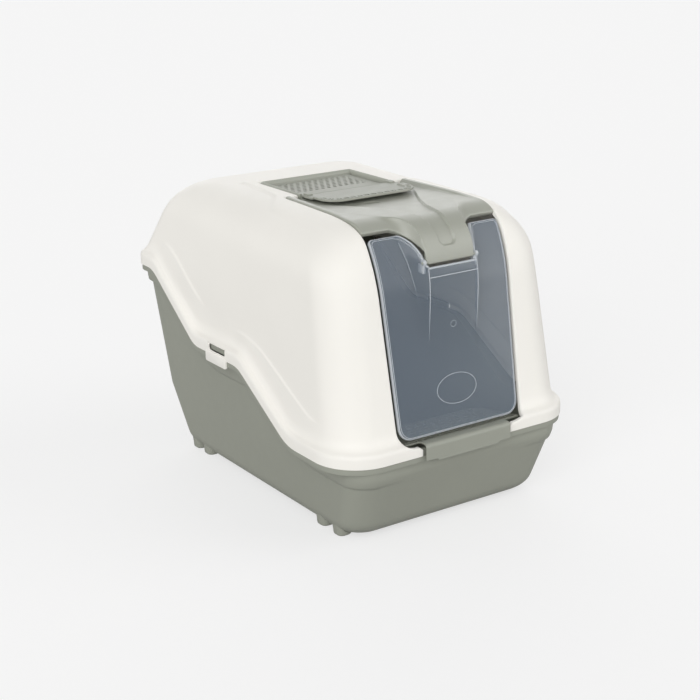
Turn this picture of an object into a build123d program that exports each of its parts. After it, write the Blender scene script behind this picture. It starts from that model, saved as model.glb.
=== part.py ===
# Hooded cat litter box: a deep tray, a hood that lifts off, an opening hatch with a filter lid,
# a swinging flap and a perforated entry step.
# Millimetres. The front (flap side) faces -Y and +Z is up.
# Origin: on the floor, under the centre of the whole object's box.
import os
from math import acos, atan, cos, radians, sin, sqrt

from build123d import *

# ---- driving dimensions -------------------------------------------------------------------------
WALL = 2.2  # wall of the big mouldings
GAP = 0.5  # play between mouldings that come apart
FAR = 700  # longer than the object, for cutters

# flange: the rolled rim all round, where the hood sits on the tray
RIM_HALF_WIDTH = 190
RIM_FRONT = -266.5
RIM_REAR = 270
RIM_FRONT_RADIUS = 62
RIM_REAR_RADIUS = 26
FLANGE_HEIGHT = 18
RIM_LOW = 115  # height of the hood's lower edge at the front
RIM_MID = 188  # on the short ledge that carries the side clip
RIM_HIGH = 272  # at the back
RIM_ROUTE = [(-300, RIM_LOW), (-138, RIM_LOW), (-18, RIM_MID), (100, RIM_MID)]
RIM_ROUTE += [(216, RIM_HIGH), (300, RIM_HIGH)]
RIM_BENDS = [70, 45, 40, 40]

# tray
TRAY_FLOOR = 2.5
TRAY_HALF_WIDTH = 152.5  # where the walls would meet the floor plane
TRAY_SIDE_DRAFT = 0.12
TRAY_FRONT = -223
TRAY_FRONT_DRAFT = 0.39
TRAY_FRONT_TOP = 92  # above this the front wall is nearly upright
TRAY_REAR = 198
TRAY_REAR_DRAFT = 0.43
TRAY_REAR_KNEE = 84
TRAY_UPRIGHT_DRAFT = 0.05
TRAY_EDGE = 22  # round along the bottom edge
TRAY_FRONT_RADIUS = 35
TRAY_REAR_RADIUS = 19
LIP_DROP = 8.5  # tray rim seen below the hood
LIP_RISE = 8  # tray rim hidden inside the hood's flange
ROLL_INSET = 3.6  # the rolled rim, inside the hood's flange
SKIRT_INSET = 1.7  # the skirt just below the hood's flange
FOOT_HALF_WIDTH = 143
FOOT_WIDTH = 28
FOOT_LENGTH = 28
FOOT_CORNER = 10
FOOT_HEIGHT = 16
FOOT_PLACES = [-188, -150, 152, 184]

# hood
HOOD_TOP = 400
HOOD_HALF_WIDTH = 181  # at z = 112
HOOD_SIDE_DRAFT = 0.05
HOOD_REAR = 262  # at z = 272
HOOD_REAR_DRAFT = 0.33
HOOD_SIDE_ROUND = 75  # top edge, front end
HOOD_TAIL_ROUND = 52  # top edge, rear end and across the back
HOOD_FRONT_RADIUS = 51
HOOD_REAR_RADIUS = 22
BROW_START = -155  # the flat top ends here and the front rolls down
BROW_RADIUS = 50
BROW_TURN = 60
FRONT_RADIUS = 200
FRONT_TURN = 80
HOOD_LEVELS = [104, 309, 325, 338, 350, 360, 369, 377, 384, 390, 394.5, 398, HOOD_TOP]

# doorway and hatch opening in the hood
DOORWAY_HALF_WIDTH = 98.5
DOORWAY_TOP_HALF_WIDTH = 105.2  # where the doorway meets the flat top
DOORWAY_LOW = 127
DOORWAY_CORNER = 20
DOORWAY_TOP_Y = -150
STEP_HALF = 98.5  # hatch opening just in front of the filter frame
FRAME_CUT = 76
FRAME_CUT_REAR = 105

# side clips
CLIP_FRONT = 12
CLIP_REAR = 66
CLIP_DROP = 12
CLIP_THICK = 2.6
SLOT_FRONT = 15
SLOT_REAR = 56
SLOT_LOW = 194
SLOT_HIGH = 201.5

# hatch
HATCH_SKIN = 2.5
HATCH_SET = 1  # the hatch's skin lies this far under the hood's surface
HATCH_BORDER = 5
BORDER_TOP = 400.5
FRAME_FLOOR = 383
WELL_REAR = 95.5
FLOOR_SLOTS = 9
FLOOR_SLOT_PITCH = 14.5
FLOOR_SLOT_LENGTH = 80
FLOOR_SLOT_WIDTH = 8
HINGE_Y = 100.2
HINGE_Z = 396.2
BARREL_RADIUS = 4.3
PIN_RADIUS = 2
PIN_PLAY = 0.35
WING_LOW = 386.5

# nose of the hatch, which carries the flap, and its run down the flap
NOSE_HALF_WIDTH = 36.5
NOSE_SHOULDER = 58
NOSE_TOP = 399.3
NOSE_START = -174
NOSE_RADIUS = 56
NOSE_TURN = 80
NOSE_FADE = 205
NOSE_LOW = 347
FLAP_PIVOT_Y = -227
FLAP_PIVOT_Z = 349.5

# flap
FLAP_SKIN = 2.2
FLAP_SET = 0.8
FLAP_LOW = 133
FLAP_CORNER = 18
FLAP_SIDE_GAP = 4.5
FLAP_TOP = 381
STRIP_TOP = 344
EYE_RADIUS = 4
EYE_WIDTH = 4

# filter lid and pad
LID_HALF_WIDTH = 69
LID_HINGE_Y = 93.2
LID_HINGE_Z = 394.8
LID_BARREL = 1.9
LID_PIN = 1.3
LIP_TOP = 403
LIP_THICK = 3.4
LIP_FRONT = -68
LIP_HALF_WIDTH = 74
LIP_CORNER = 28
GRIP_SLOTS = 12
GRIP_PITCH = 9.6
VENT_ROWS = 7
VENT_HOLES = 12
VENT_REAR = 86
VENT_ROW_PITCH = 8.4
VENT_PITCH = 9.6
VENT_LENGTH = 5
VENT_WIDTH = 2.6
PAD_HALF_WIDTH = 66
PAD_DEPTH = 86
PAD_THICK = 6

# entry step
STEP_HALF_WIDTH = 96.5
STEP_FACE = -270
STEP_REAR = -158
STEP_THICK = 2.4
STEP_LOW = 105.5
STEP_ROLL_TOP = 130.5
STEP_ROLL_REAR = -257
STEP_ROLL_RADIUS = 5.5
STEP_SHELF_FRONT = 128.2
STEP_SHELF_REAR = 114
STEP_NOSE = 7
STEP_INSIDE = -261
STEP_HOOK_Y = -255.5
STEP_CLIP_HALF_WIDTH = 67.5
STEP_TAB_HALF_WIDTH = 49.5
STEP_CORNER = 26
STEP_ROWS = 7
STEP_ROW_PITCH = 12
STEP_MARGIN = 15
STEP_HOLES = 13
STEP_HOLE_PITCH = 13
STEP_HOLE_LENGTH = 8
STEP_HOLE_WIDTH = 3.6


# ---- shared shapes ------------------------------------------------------------------------------
def wall_line(z, size, level, draft, rounding):
    """Distance from the axis of a drafted wall that rolls into the flat top with one arc."""
    lean = atan(draft)
    centre_z = HOOD_TOP - rounding
    centre = size - draft * (centre_z - level) - rounding / cos(lean)
    if z <= centre_z + rounding * sin(lean):
        return size - draft * (z - level)
    return centre + sqrt(max(0, rounding**2 - (z - centre_z) ** 2))


def front_line(z):
    """Y of the hood's front face at height z: brow arc, wide arc, then a straight slope."""
    turn = radians(BROW_TURN)
    brow_z = HOOD_TOP - BROW_RADIUS * (1 - cos(turn))
    brow_y = BROW_START - BROW_RADIUS * sin(turn)
    if z >= brow_z:
        return BROW_START - BROW_RADIUS * sin(acos(max(0, 1 - (HOOD_TOP - z) / BROW_RADIUS)))
    centre_y = brow_y + FRONT_RADIUS * sin(turn)
    centre_z = brow_z - FRONT_RADIUS * cos(turn)
    last = radians(FRONT_TURN)
    last_z = centre_z + FRONT_RADIUS * cos(last)
    if z >= last_z:
        return centre_y - sqrt(FRONT_RADIUS**2 - (z - centre_z) ** 2)
    return centre_y - FRONT_RADIUS * sin(last) - (last_z - z) / sin(last) * cos(last)


def plan_outline(z, front_half, rear_half, front, rear, front_radius, rear_radius):
    """A rounded four-sided outline lying flat at height z."""
    with BuildSketch(Plane.XY.offset(z)) as outline:
        with BuildLine():
            Polyline(
                (-front_half, front), (front_half, front), (rear_half, rear), (-rear_half, rear), close=True
            )
        make_face()
        fillet(outline.vertices().group_by(Axis.Y)[0], front_radius)
        fillet(outline.vertices().group_by(Axis.Y)[-1], rear_radius)
    return outline.sketch


def hood_outline(z, inset):
    """Outline of the hood at height z, drawn in by the wall for the inner face."""
    front_half = wall_line(z, HOOD_HALF_WIDTH, 112, HOOD_SIDE_DRAFT, HOOD_SIDE_ROUND)
    rear_half = wall_line(z, HOOD_HALF_WIDTH, 112, HOOD_SIDE_DRAFT, HOOD_TAIL_ROUND)
    rear = wall_line(z, HOOD_REAR, RIM_HIGH, HOOD_REAR_DRAFT, HOOD_TAIL_ROUND)
    return plan_outline(
        z - inset,
        front_half - inset,
        rear_half - inset,
        front_line(z) + inset,
        rear - inset,
        HOOD_FRONT_RADIUS - inset,
        HOOD_REAR_RADIUS - inset,
    )


def tray_outline(z, inset):
    """Outline of the tray at height z, with the bottom edge rounded off."""
    height = z - TRAY_FLOOR
    tuck = 0
    if height < TRAY_EDGE:
        tuck = TRAY_EDGE - sqrt(TRAY_EDGE**2 - (TRAY_EDGE - height) ** 2)
    half = TRAY_HALF_WIDTH + TRAY_SIDE_DRAFT * height
    front = TRAY_FRONT - TRAY_FRONT_DRAFT * min(height, TRAY_FRONT_TOP)
    front -= TRAY_UPRIGHT_DRAFT * max(0, height - TRAY_FRONT_TOP)
    rear = TRAY_REAR + TRAY_REAR_DRAFT * min(height, TRAY_REAR_KNEE)
    rear += TRAY_UPRIGHT_DRAFT * max(0, height - TRAY_REAR_KNEE)
    return plan_outline(
        z + inset * 0.9,
        half - tuck - inset,
        half - tuck - inset,
        front + tuck + inset,
        rear - tuck - inset,
        TRAY_FRONT_RADIUS - inset,
        TRAY_REAR_RADIUS - inset,
    )


def rim_band(low, high):
    """Everything between two copies of the rim's wavy line, raised by low and high."""
    route = [(y, z + low) for y, z in RIM_ROUTE]
    with BuildPart() as band:
        with BuildSketch(Plane.YZ):
            with BuildLine():
                lower = FilletPolyline(*route, radius=RIM_BENDS)
                upper = FilletPolyline(*[(y, z + high - low) for y, z in route], radius=RIM_BENDS)
                Line(lower @ 0, upper @ 0)
                Line(lower @ 1, upper @ 1)
            make_face()
        extrude(amount=FAR / 2, both=True)
    return band.part


def rim_ring(inset, low, high):
    """The rim's outline drawn in by inset, as a solid between two wavy heights."""
    with BuildPart() as ring:
        add(
            plan_outline(
                0,
                RIM_HALF_WIDTH - inset,
                RIM_HALF_WIDTH - inset,
                RIM_FRONT + inset,
                RIM_REAR - inset,
                RIM_FRONT_RADIUS - inset,
                RIM_REAR_RADIUS - inset,
            )
        )
        extrude(amount=FAR)
        add(rim_band(low, high), mode=Mode.INTERSECT)
    return ring.part


def stacked(outlines, ruled):
    """A solid through a stack of outlines."""
    with BuildPart() as stack:
        for outline in outlines:
            add(outline)
        loft(ruled=ruled)
    return stack.part


def block(x, y, z):
    """A plain block from three (low, high) pairs."""
    with BuildPart() as solid:
        with BuildSketch(Plane.XY.offset(z[0])):
            with Locations(((x[0] + x[1]) / 2, (y[0] + y[1]) / 2)):
                Rectangle(x[1] - x[0], y[1] - y[0])
        extrude(amount=z[1] - z[0])
    return solid.part


def rod(x, y, z, radius):
    """A round bar along X from x[0] to x[1]."""
    with BuildPart() as bar:
        with BuildSketch(Plane.YZ.offset(x[0])):
            with Locations((y, z)):
                Circle(radius)
        extrude(amount=x[1] - x[0])
    return bar.part


def mirrored(solid):
    """The solid and its twin on the other side of the centre plane."""
    with BuildPart() as pair:
        add(solid)
        mirror(about=Plane.YZ)
    return pair.part


def behind_front(depth):
    """Everything behind and below the hood's front profile, sunk by depth."""
    with BuildPart() as solid:
        with BuildSketch(Plane.YZ):
            with BuildLine():
                top = Line((200, HOOD_TOP - depth), (BROW_START, HOOD_TOP - depth))
                brow = JernArc(top @ 1, top % 1, BROW_RADIUS - depth, BROW_TURN)
                face = JernArc(brow @ 1, brow % 1, FRONT_RADIUS - depth, FRONT_TURN - BROW_TURN)
                slope = Line(face @ 1, face @ 1 + (face % 1) * 240)
                Polyline(slope @ 1, (200, 60), top @ 0)
            make_face()
        extrude(amount=FAR / 2, both=True)
    return solid.part


def behind_nose(depth):
    """Everything behind the nose of the hatch and its run down the flap, sunk by depth."""
    with BuildPart() as solid:
        with BuildSketch(Plane.YZ):
            with BuildLine():
                top = Line((200, NOSE_TOP - depth), (NOSE_START, NOSE_TOP - depth))
                brow = JernArc(top @ 1, top % 1, NOSE_RADIUS - depth, NOSE_TURN)
                foot = (front_line(NOSE_FADE) + depth, NOSE_FADE)
                run = TangentArc(brow @ 1, foot, tangent=brow % 1)
                Polyline(run @ 1, (200, NOSE_FADE), top @ 0)
            make_face()
        extrude(amount=FAR / 2, both=True)
    return solid.part


# ---- tray ---------------------------------------------------------------------------------------
EDGE_TOP = TRAY_FLOOR + TRAY_EDGE
TRAY_LEVELS = [TRAY_FLOOR, 3.3, 5.5, 9, 15, EDGE_TOP]
TRAY_LEVELS += [TRAY_FLOOR + TRAY_REAR_KNEE, TRAY_FLOOR + TRAY_FRONT_TOP, RIM_HIGH + 40]
tray_outer = stacked([tray_outline(z, 0) for z in TRAY_LEVELS], True)
tray_inner = stacked([tray_outline(z, WALL) for z in TRAY_LEVELS], True)

with BuildPart() as tray:
    add(tray_outer)
    add(rim_band(-FAR, LIP_RISE), mode=Mode.INTERSECT)
    with BuildSketch(Plane.XY):
        for place in FOOT_PLACES:
            with Locations((-FOOT_HALF_WIDTH, place), (FOOT_HALF_WIDTH, place)):
                RectangleRounded(FOOT_WIDTH, FOOT_LENGTH, FOOT_CORNER)
    extrude(amount=FOOT_HEIGHT)
    # the rolled rim: a skirt below the hood's edge and a narrower roll inside its flange
    add(rim_ring(ROLL_INSET, -LIP_DROP, LIP_RISE) - rim_ring(ROLL_INSET + 2.4, -FAR, LIP_RISE - WALL))
    add(rim_ring(SKIRT_INSET, -LIP_DROP, -0.4) - rim_ring(ROLL_INSET + 1, -FAR, LIP_RISE))
    add(tray_inner, mode=Mode.SUBTRACT)
    # the notch where the hood's clip hangs over the rim, and the lug seen through its slot
    roll_x = RIM_HALF_WIDTH - ROLL_INSET
    notch_y = (CLIP_FRONT - 1.5, CLIP_REAR + 1.5)
    notch_z = (RIM_MID - CLIP_DROP - 3, RIM_MID)
    add(mirrored(block((roll_x, roll_x + 10), notch_y, notch_z)), mode=Mode.SUBTRACT)
    add(mirrored(block((roll_x - 3, roll_x), (SLOT_FRONT, SLOT_REAR), (RIM_MID, SLOT_HIGH))))
tray.part.label = "tray"

# ---- entry step ---------------------------------------------------------------------------------
with BuildPart() as entry_step:
    shelf_y = STEP_REAR - STEP_NOSE
    with BuildSketch(Plane.YZ) as step_side:
        with BuildLine():
            Polyline(
                (STEP_FACE, STEP_LOW),
                (STEP_FACE, STEP_ROLL_TOP),
                (STEP_ROLL_REAR, STEP_ROLL_TOP),
                (STEP_ROLL_REAR + 5, STEP_SHELF_FRONT),
                (shelf_y, STEP_SHELF_REAR),
                (STEP_REAR, STEP_SHELF_REAR - STEP_NOSE),
                (STEP_REAR - STEP_THICK, STEP_SHELF_REAR - STEP_NOSE),
                (shelf_y - STEP_THICK / 2, STEP_SHELF_REAR - STEP_THICK),
                (STEP_ROLL_REAR + 4, STEP_SHELF_FRONT - STEP_THICK),
                (STEP_FACE + STEP_THICK, STEP_SHELF_FRONT - STEP_THICK),
                (STEP_FACE + STEP_THICK, STEP_LOW),
                close=True,
            )
        make_face()
        fillet(step_side.vertices().sort_by(Axis.Y)[-2:].sort_by(Axis.X)[0], STEP_ROLL_RADIUS)
    extrude(amount=STEP_HALF_WIDTH, both=True)
    # only the middle reaches over the rim, and a narrower tab hangs below it
    side_x = (STEP_CLIP_HALF_WIDTH, STEP_HALF_WIDTH)
    add(mirrored(block(side_x, (STEP_FACE - 1, STEP_INSIDE), (90, 140))), mode=Mode.SUBTRACT)
    shelf_end_y = (STEP_INSIDE, STEP_ROLL_REAR + 8)
    add(mirrored(block(side_x, shelf_end_y, (STEP_SHELF_FRONT, 140))), mode=Mode.SUBTRACT)
    tab_x = (STEP_TAB_HALF_WIDTH, STEP_CLIP_HALF_WIDTH)
    add(mirrored(block(tab_x, (STEP_FACE - 1, STEP_FACE + 4), (90, STEP_LOW + 3))), mode=Mode.SUBTRACT)
    # rounded rear corners
    with BuildSketch(Plane.XY.offset(90)) as shelf_plan:
        with Locations((0, (STEP_FACE + STEP_REAR) / 2)):
            Rectangle(2 * STEP_HALF_WIDTH, STEP_REAR - STEP_FACE)
        fillet(shelf_plan.vertices().group_by(Axis.Y)[-1], STEP_CORNER)
    extrude(amount=50, mode=Mode.INTERSECT)
    # staggered drain slots
    with BuildSketch(Plane.XY.offset(90)):
        for row in range(STEP_ROWS):
            y = STEP_REAR + STEP_MARGIN + row * STEP_ROW_PITCH
            count = STEP_HOLES - row % 2
            for hole in range(count):
                with Locations(((hole - (count - 1) / 2) * STEP_HOLE_PITCH, y)):
                    SlotOverall(STEP_HOLE_LENGTH, STEP_HOLE_WIDTH)
    extrude(amount=50, mode=Mode.SUBTRACT)
    # hook behind the tray's front wall
    hook_y = (STEP_HOOK_Y, STEP_HOOK_Y + STEP_THICK)
    add(block((-STEP_TAB_HALF_WIDTH, STEP_TAB_HALF_WIDTH), hook_y, (RIM_LOW - 6, STEP_SHELF_FRONT - 1)))
entry_step.part.label = "entry_step"

# ---- hood ---------------------------------------------------------------------------------------
hood_outer = stacked([hood_outline(z, 0) for z in HOOD_LEVELS], True)
hood_inner = stacked([hood_outline(z, WALL) for z in HOOD_LEVELS], True)

with BuildPart() as hood:
    add(hood_outer)
    add(rim_band(0, FAR), mode=Mode.INTERSECT)
    add(rim_ring(0, 0, FLANGE_HEIGHT))
    add(rim_ring(WALL, -FAR, FLANGE_HEIGHT - WALL), mode=Mode.SUBTRACT)
    add(hood_inner, mode=Mode.SUBTRACT)
    # doorway
    with BuildSketch(Plane.XZ.offset(-DOORWAY_TOP_Y)) as doorway:
        with BuildLine():
            Polyline(
                (-DOORWAY_HALF_WIDTH, DOORWAY_LOW),
                (DOORWAY_HALF_WIDTH, DOORWAY_LOW),
                (DOORWAY_TOP_HALF_WIDTH, HOOD_TOP + 10),
                (-DOORWAY_TOP_HALF_WIDTH, HOOD_TOP + 10),
                close=True,
            )
        make_face()
        fillet(doorway.vertices().group_by(Axis.Y)[0], DOORWAY_CORNER)
    extrude(amount=150, mode=Mode.SUBTRACT)
    # stepped opening for the hatch in the flat top
    with BuildSketch(Plane.XY.offset(FRAME_FLOOR - 40)):
        with BuildLine():
            right_side = [
                (FRAME_CUT, FRAME_CUT_REAR),
                (FRAME_CUT, 0.5),
                (STEP_HALF, 0.5),
                (DOORWAY_TOP_HALF_WIDTH, DOORWAY_TOP_Y),
            ]
            Polyline(*right_side, *[(-x, y) for x, y in reversed(right_side)], close=True)
        make_face()
    extrude(amount=100, mode=Mode.SUBTRACT)
    # the entry step's clip passes through here
    clip_gap_x = (-STEP_CLIP_HALF_WIDTH - 1.5, STEP_CLIP_HALF_WIDTH + 1.5)
    clip_gap_y = (RIM_FRONT - 5, RIM_FRONT + 20)
    add(block(clip_gap_x, clip_gap_y, (RIM_LOW - 5, DOORWAY_LOW + 5)), mode=Mode.SUBTRACT)
    # side clips: a tongue that hangs over the tray's rim, with a slot above it
    skin_x = (RIM_HALF_WIDTH - CLIP_THICK, RIM_HALF_WIDTH)
    add(mirrored(block(skin_x, (CLIP_FRONT, CLIP_REAR), (RIM_MID - CLIP_DROP, RIM_MID + 4))))
    slot_x = (RIM_HALF_WIDTH - 6, RIM_HALF_WIDTH + 6)
    add(mirrored(block(slot_x, (SLOT_FRONT, SLOT_REAR), (SLOT_LOW, SLOT_HIGH))), mode=Mode.SUBTRACT)
    # bearings for the hatch's pins, under the top beside the filter frame
    lug_y = (HINGE_Y - 5, HINGE_Y + 5)
    add(mirrored(block((FRAME_CUT, FRAME_CUT + 6), lug_y, (HINGE_Z - 6, HOOD_TOP - 1))))
    add(mirrored(rod((0, FRAME_CUT + 5), HINGE_Y, HINGE_Z, PIN_RADIUS + PIN_PLAY)), mode=Mode.SUBTRACT)
hood.part.label = "hood"

# ---- hatch --------------------------------------------------------------------------------------
step_half = STEP_HALF - GAP
frame_half = FRAME_CUT - GAP
brow_half = DOORWAY_TOP_HALF_WIDTH - 2 * GAP - 0.2
hatch_side = [(step_half, 0), (brow_half, DOORWAY_TOP_Y), (brow_half, -FAR / 2)]

with BuildPart() as hatch:
    add(behind_front(HATCH_SET))
    add(behind_front(HATCH_SET + HATCH_SKIN), mode=Mode.SUBTRACT)
    with BuildSketch(Plane.XY.offset(FRAME_FLOOR - 60)):
        with BuildLine():
            Polyline(*hatch_side, *[(-x, y) for x, y in reversed(hatch_side)], close=True)
        make_face()
    extrude(amount=120, mode=Mode.INTERSECT)
    # lower edge: level under the wings, swept down to the nose in the middle
    with BuildSketch(Plane.XZ) as apron:
        with BuildLine():
            apron_side = [
                (NOSE_HALF_WIDTH, NOSE_LOW),
                (NOSE_HALF_WIDTH, NOSE_LOW + 10),
                (NOSE_SHOULDER, WING_LOW),
                (120, WING_LOW),
                (120, 420),
            ]
            Polyline(*apron_side, *[(-x, z) for x, z in reversed(apron_side)], close=True)
        make_face()
        wing_corners = apron.vertices().filter_by_position(Axis.Y, WING_LOW - 1, WING_LOW + 1)
        fillet(wing_corners.sort_by(Axis.X)[1:3], 20)
    extrude(amount=FAR / 2, both=True, mode=Mode.INTERSECT)
    # hollow nose, proud of the wings, that carries the flap
    inside_x = (-NOSE_HALF_WIDTH + HATCH_SKIN, NOSE_HALF_WIDTH - HATCH_SKIN)
    nose_x = (-NOSE_HALF_WIDTH, NOSE_HALF_WIDTH)
    nose_y = (-260, NOSE_START - 8)
    hollow = behind_nose(HATCH_SKIN) & block(inside_x, nose_y, (NOSE_LOW - 1, HOOD_TOP))
    add(hollow, mode=Mode.SUBTRACT)
    shell = behind_nose(0) & block(nose_x, (-260, NOSE_START), (NOSE_LOW, HOOD_TOP))
    add(shell - hollow - behind_front(HATCH_SET + HATCH_SKIN))
    # filter frame behind the cover, with a slotted floor
    frame_rear = HINGE_Y
    add(block((-frame_half, frame_half), (-3, frame_rear), (FRAME_FLOOR, HOOD_TOP - HATCH_SET)))
    well_x = (-frame_half + HATCH_BORDER, frame_half - HATCH_BORDER)
    add(block(well_x, (0, WELL_REAR), (FRAME_FLOOR + 3, HOOD_TOP + 5)), mode=Mode.SUBTRACT)
    with BuildSketch(Plane.XY.offset(FRAME_FLOOR - 1)):
        with Locations((0, WELL_REAR / 2)):
            with GridLocations(FLOOR_SLOT_PITCH, 0, FLOOR_SLOTS, 1):
                SlotOverall(FLOOR_SLOT_LENGTH, FLOOR_SLOT_WIDTH, rotation=90)
    extrude(amount=5, mode=Mode.SUBTRACT)
    # raised border round the whole top edge
    with BuildSketch(Plane.XY.offset(HOOD_TOP - HATCH_SET - 1)) as border:
        with BuildLine():
            outer = [(frame_half, frame_rear), (frame_half, 0), (step_half, 0)]
            outer += [(brow_half, DOORWAY_TOP_Y)]
            Polyline(*outer, *[(-x, y) for x, y in reversed(outer)], close=True)
        make_face()
        with BuildLine():
            inner = [
                (frame_half - HATCH_BORDER, frame_rear + 1),
                (frame_half - HATCH_BORDER, -HATCH_BORDER),
                (step_half - HATCH_BORDER, -HATCH_BORDER),
                (brow_half - HATCH_BORDER, DOORWAY_TOP_Y - 1),
            ]
            Polyline(*inner, *[(-x, y) for x, y in reversed(inner)], close=True)
        make_face(mode=Mode.SUBTRACT)
    extrude(amount=BORDER_TOP - HOOD_TOP + HATCH_SET + 1)
    # the rear border is a round barrel on the hinge line, with a pin at each end
    add(rod((-frame_half, frame_half), HINGE_Y, HINGE_Z, BARREL_RADIUS))
    add(rod((-FRAME_CUT - 4, FRAME_CUT + 4), HINGE_Y, HINGE_Z, PIN_RADIUS))
    # bearings for the filter lid's pins
    bore_x = (-LID_HALF_WIDTH - 3.5, LID_HALF_WIDTH + 3.5)
    add(rod(bore_x, LID_HINGE_Y, LID_HINGE_Z, LID_PIN + PIN_PLAY), mode=Mode.SUBTRACT)
    # pins for the flap
    add(mirrored(rod((NOSE_HALF_WIDTH - 1, NOSE_HALF_WIDTH + 7), FLAP_PIVOT_Y, FLAP_PIVOT_Z, PIN_RADIUS)))
hatch.part.label = "hatch"

# ---- flap ---------------------------------------------------------------------------------------
strip_half = NOSE_HALF_WIDTH + 3
with BuildPart() as flap:
    add(behind_front(FLAP_SET))
    add(behind_front(FLAP_SET + FLAP_SKIN), mode=Mode.SUBTRACT)
    with BuildSketch(Plane.XZ) as flap_front:
        with BuildLine():
            flap_side = [
                (DOORWAY_HALF_WIDTH - FLAP_SIDE_GAP, FLAP_LOW),
                (DOORWAY_TOP_HALF_WIDTH - FLAP_SIDE_GAP - 0.6, FLAP_TOP),
                (NOSE_SHOULDER + 1.5, FLAP_TOP),
                (strip_half + 0.8, STRIP_TOP - 3),
            ]
            Polyline(*flap_side, *[(-x, z) for x, z in reversed(flap_side)], close=True)
        make_face()
        fillet(flap_front.vertices().group_by(Axis.Y)[0], FLAP_CORNER)
        fillet(flap_front.vertices().group_by(Axis.Y)[-1].sort_by(Axis.X)[1:3], 20)
        fillet(flap_front.vertices().group_by(Axis.Y)[-1].sort_by(Axis.X)[::3], 6)
    extrude(amount=FAR / 2, both=True, mode=Mode.INTERSECT)
    # the centre runs forward to meet the nose and fades into the panel lower down
    strip_y = (-260, -190)
    strip_z = (NOSE_FADE + 20, STRIP_TOP)
    channel_x = (-strip_half + FLAP_SKIN, strip_half - FLAP_SKIN)
    channel = behind_nose(FLAP_SET + FLAP_SKIN) & block(channel_x, strip_y, strip_z)
    add(channel, mode=Mode.SUBTRACT)
    strip = behind_nose(FLAP_SET) & block((-strip_half, strip_half), strip_y, strip_z)
    add(strip - channel - behind_front(FLAP_SET + FLAP_SKIN))
    # eyes that hang on the hatch's pins
    eye_x = (strip_half - 0.9, strip_half - 0.9 + EYE_WIDTH)
    add(mirrored(rod(eye_x, FLAP_PIVOT_Y, FLAP_PIVOT_Z, EYE_RADIUS)))
    web_y = (FLAP_PIVOT_Y - 1, front_line(STRIP_TOP) - 1)
    add(mirrored(block(eye_x, web_y, (STRIP_TOP - 9, STRIP_TOP - 2))))
    add(mirrored(block(eye_x, (FLAP_PIVOT_Y - 2, FLAP_PIVOT_Y + 2), (STRIP_TOP - 9, FLAP_PIVOT_Z - 2))))
    add(rod((-60, 60), FLAP_PIVOT_Y, FLAP_PIVOT_Z, PIN_RADIUS + PIN_PLAY), mode=Mode.SUBTRACT)
flap.part.label = "flap"

# ---- filter lid and filter pad ------------------------------------------------------------------
with BuildPart() as filter_lid:
    plate_z = (LID_HINGE_Z - 1.2, LID_HINGE_Z + 1.2)
    add(block((-LID_HALF_WIDTH, LID_HALF_WIDTH), (1.5, LID_HINGE_Y), plate_z))
    add(block((-LID_HALF_WIDTH, LID_HALF_WIDTH), (1.5, 4.5), (plate_z[0], LIP_TOP)))
    with BuildSketch(Plane.XY.offset(LIP_TOP - LIP_THICK)) as lip:
        with Locations((0, (LIP_FRONT - HATCH_BORDER - 1) / 2)):
            Rectangle(2 * LIP_HALF_WIDTH, -LIP_FRONT - HATCH_BORDER - 1)
        fillet(lip.vertices().group_by(Axis.Y)[0], LIP_CORNER)
    extrude(amount=LIP_THICK)
    neck_y = (-HATCH_BORDER - 2, 4.5)
    add(block((-LID_HALF_WIDTH, LID_HALF_WIDTH), neck_y, (LIP_TOP - LIP_THICK, LIP_TOP)))
    # staggered vent holes
    with BuildSketch(Plane.XY.offset(plate_z[0] - 1)):
        for row in range(VENT_ROWS):
            count = VENT_HOLES - row % 2
            for hole in range(count):
                vent_y = VENT_REAR - row * VENT_ROW_PITCH
                with Locations(((hole - (count - 1) / 2) * VENT_PITCH, vent_y)):
                    Rectangle(VENT_LENGTH, VENT_WIDTH)
    extrude(amount=5, mode=Mode.SUBTRACT)
    # grip grooves along the lip
    with BuildSketch(Plane.XY.offset(LIP_TOP - 1)):
        with Locations((0, LIP_FRONT + 9)):
            with GridLocations(GRIP_PITCH, 0, GRIP_SLOTS, 1):
                SlotOverall(GRIP_PITCH * 0.62, 2.4)
    extrude(amount=2, mode=Mode.SUBTRACT)
    add(rod((-LID_HALF_WIDTH, LID_HALF_WIDTH), LID_HINGE_Y, LID_HINGE_Z, LID_BARREL))
    add(rod((-LID_HALF_WIDTH - 3, LID_HALF_WIDTH + 3), LID_HINGE_Y, LID_HINGE_Z, LID_PIN))
filter_lid.part.label = "filter_lid"

with BuildPart() as filter_pad:
    with BuildSketch(Plane.XY.offset(FRAME_FLOOR + 3.2)):
        with Locations((0, WELL_REAR / 2 - 1)):
            RectangleRounded(2 * PAD_HALF_WIDTH, PAD_DEPTH, 6)
    extrude(amount=PAD_THICK)
filter_pad.part.label = "filter_pad"

# ---- output -------------------------------------------------------------------------------------
os.makedirs("parts", exist_ok=True)
for piece in (tray, entry_step, hood, hatch, flap, filter_lid, filter_pad):
    export_step(piece.part, f"parts/{piece.part.label}.step")
    print(piece.part.label, len(piece.part.solids()), round(piece.part.volume / 1000, 1), "cm3")
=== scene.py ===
# %% [markdown]
# # A hooded cat litter box
# The real object is a set of injection-moulded plastic pieces: a deep sage-grey tray, a warm white hood
# that lifts off it, a hatch in the hood's top with a filter lid, a smoke-blue flap and a perforated entry
# step. Each piece is modelled here in millimetres, as a sheet of points shaped by plain functions of
# height and place, because a moulding is just that: one thin skin with drafted walls and rolled edges.

import bmesh
import bpy
import numpy as np
from mathutils import Matrix, Vector


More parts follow.
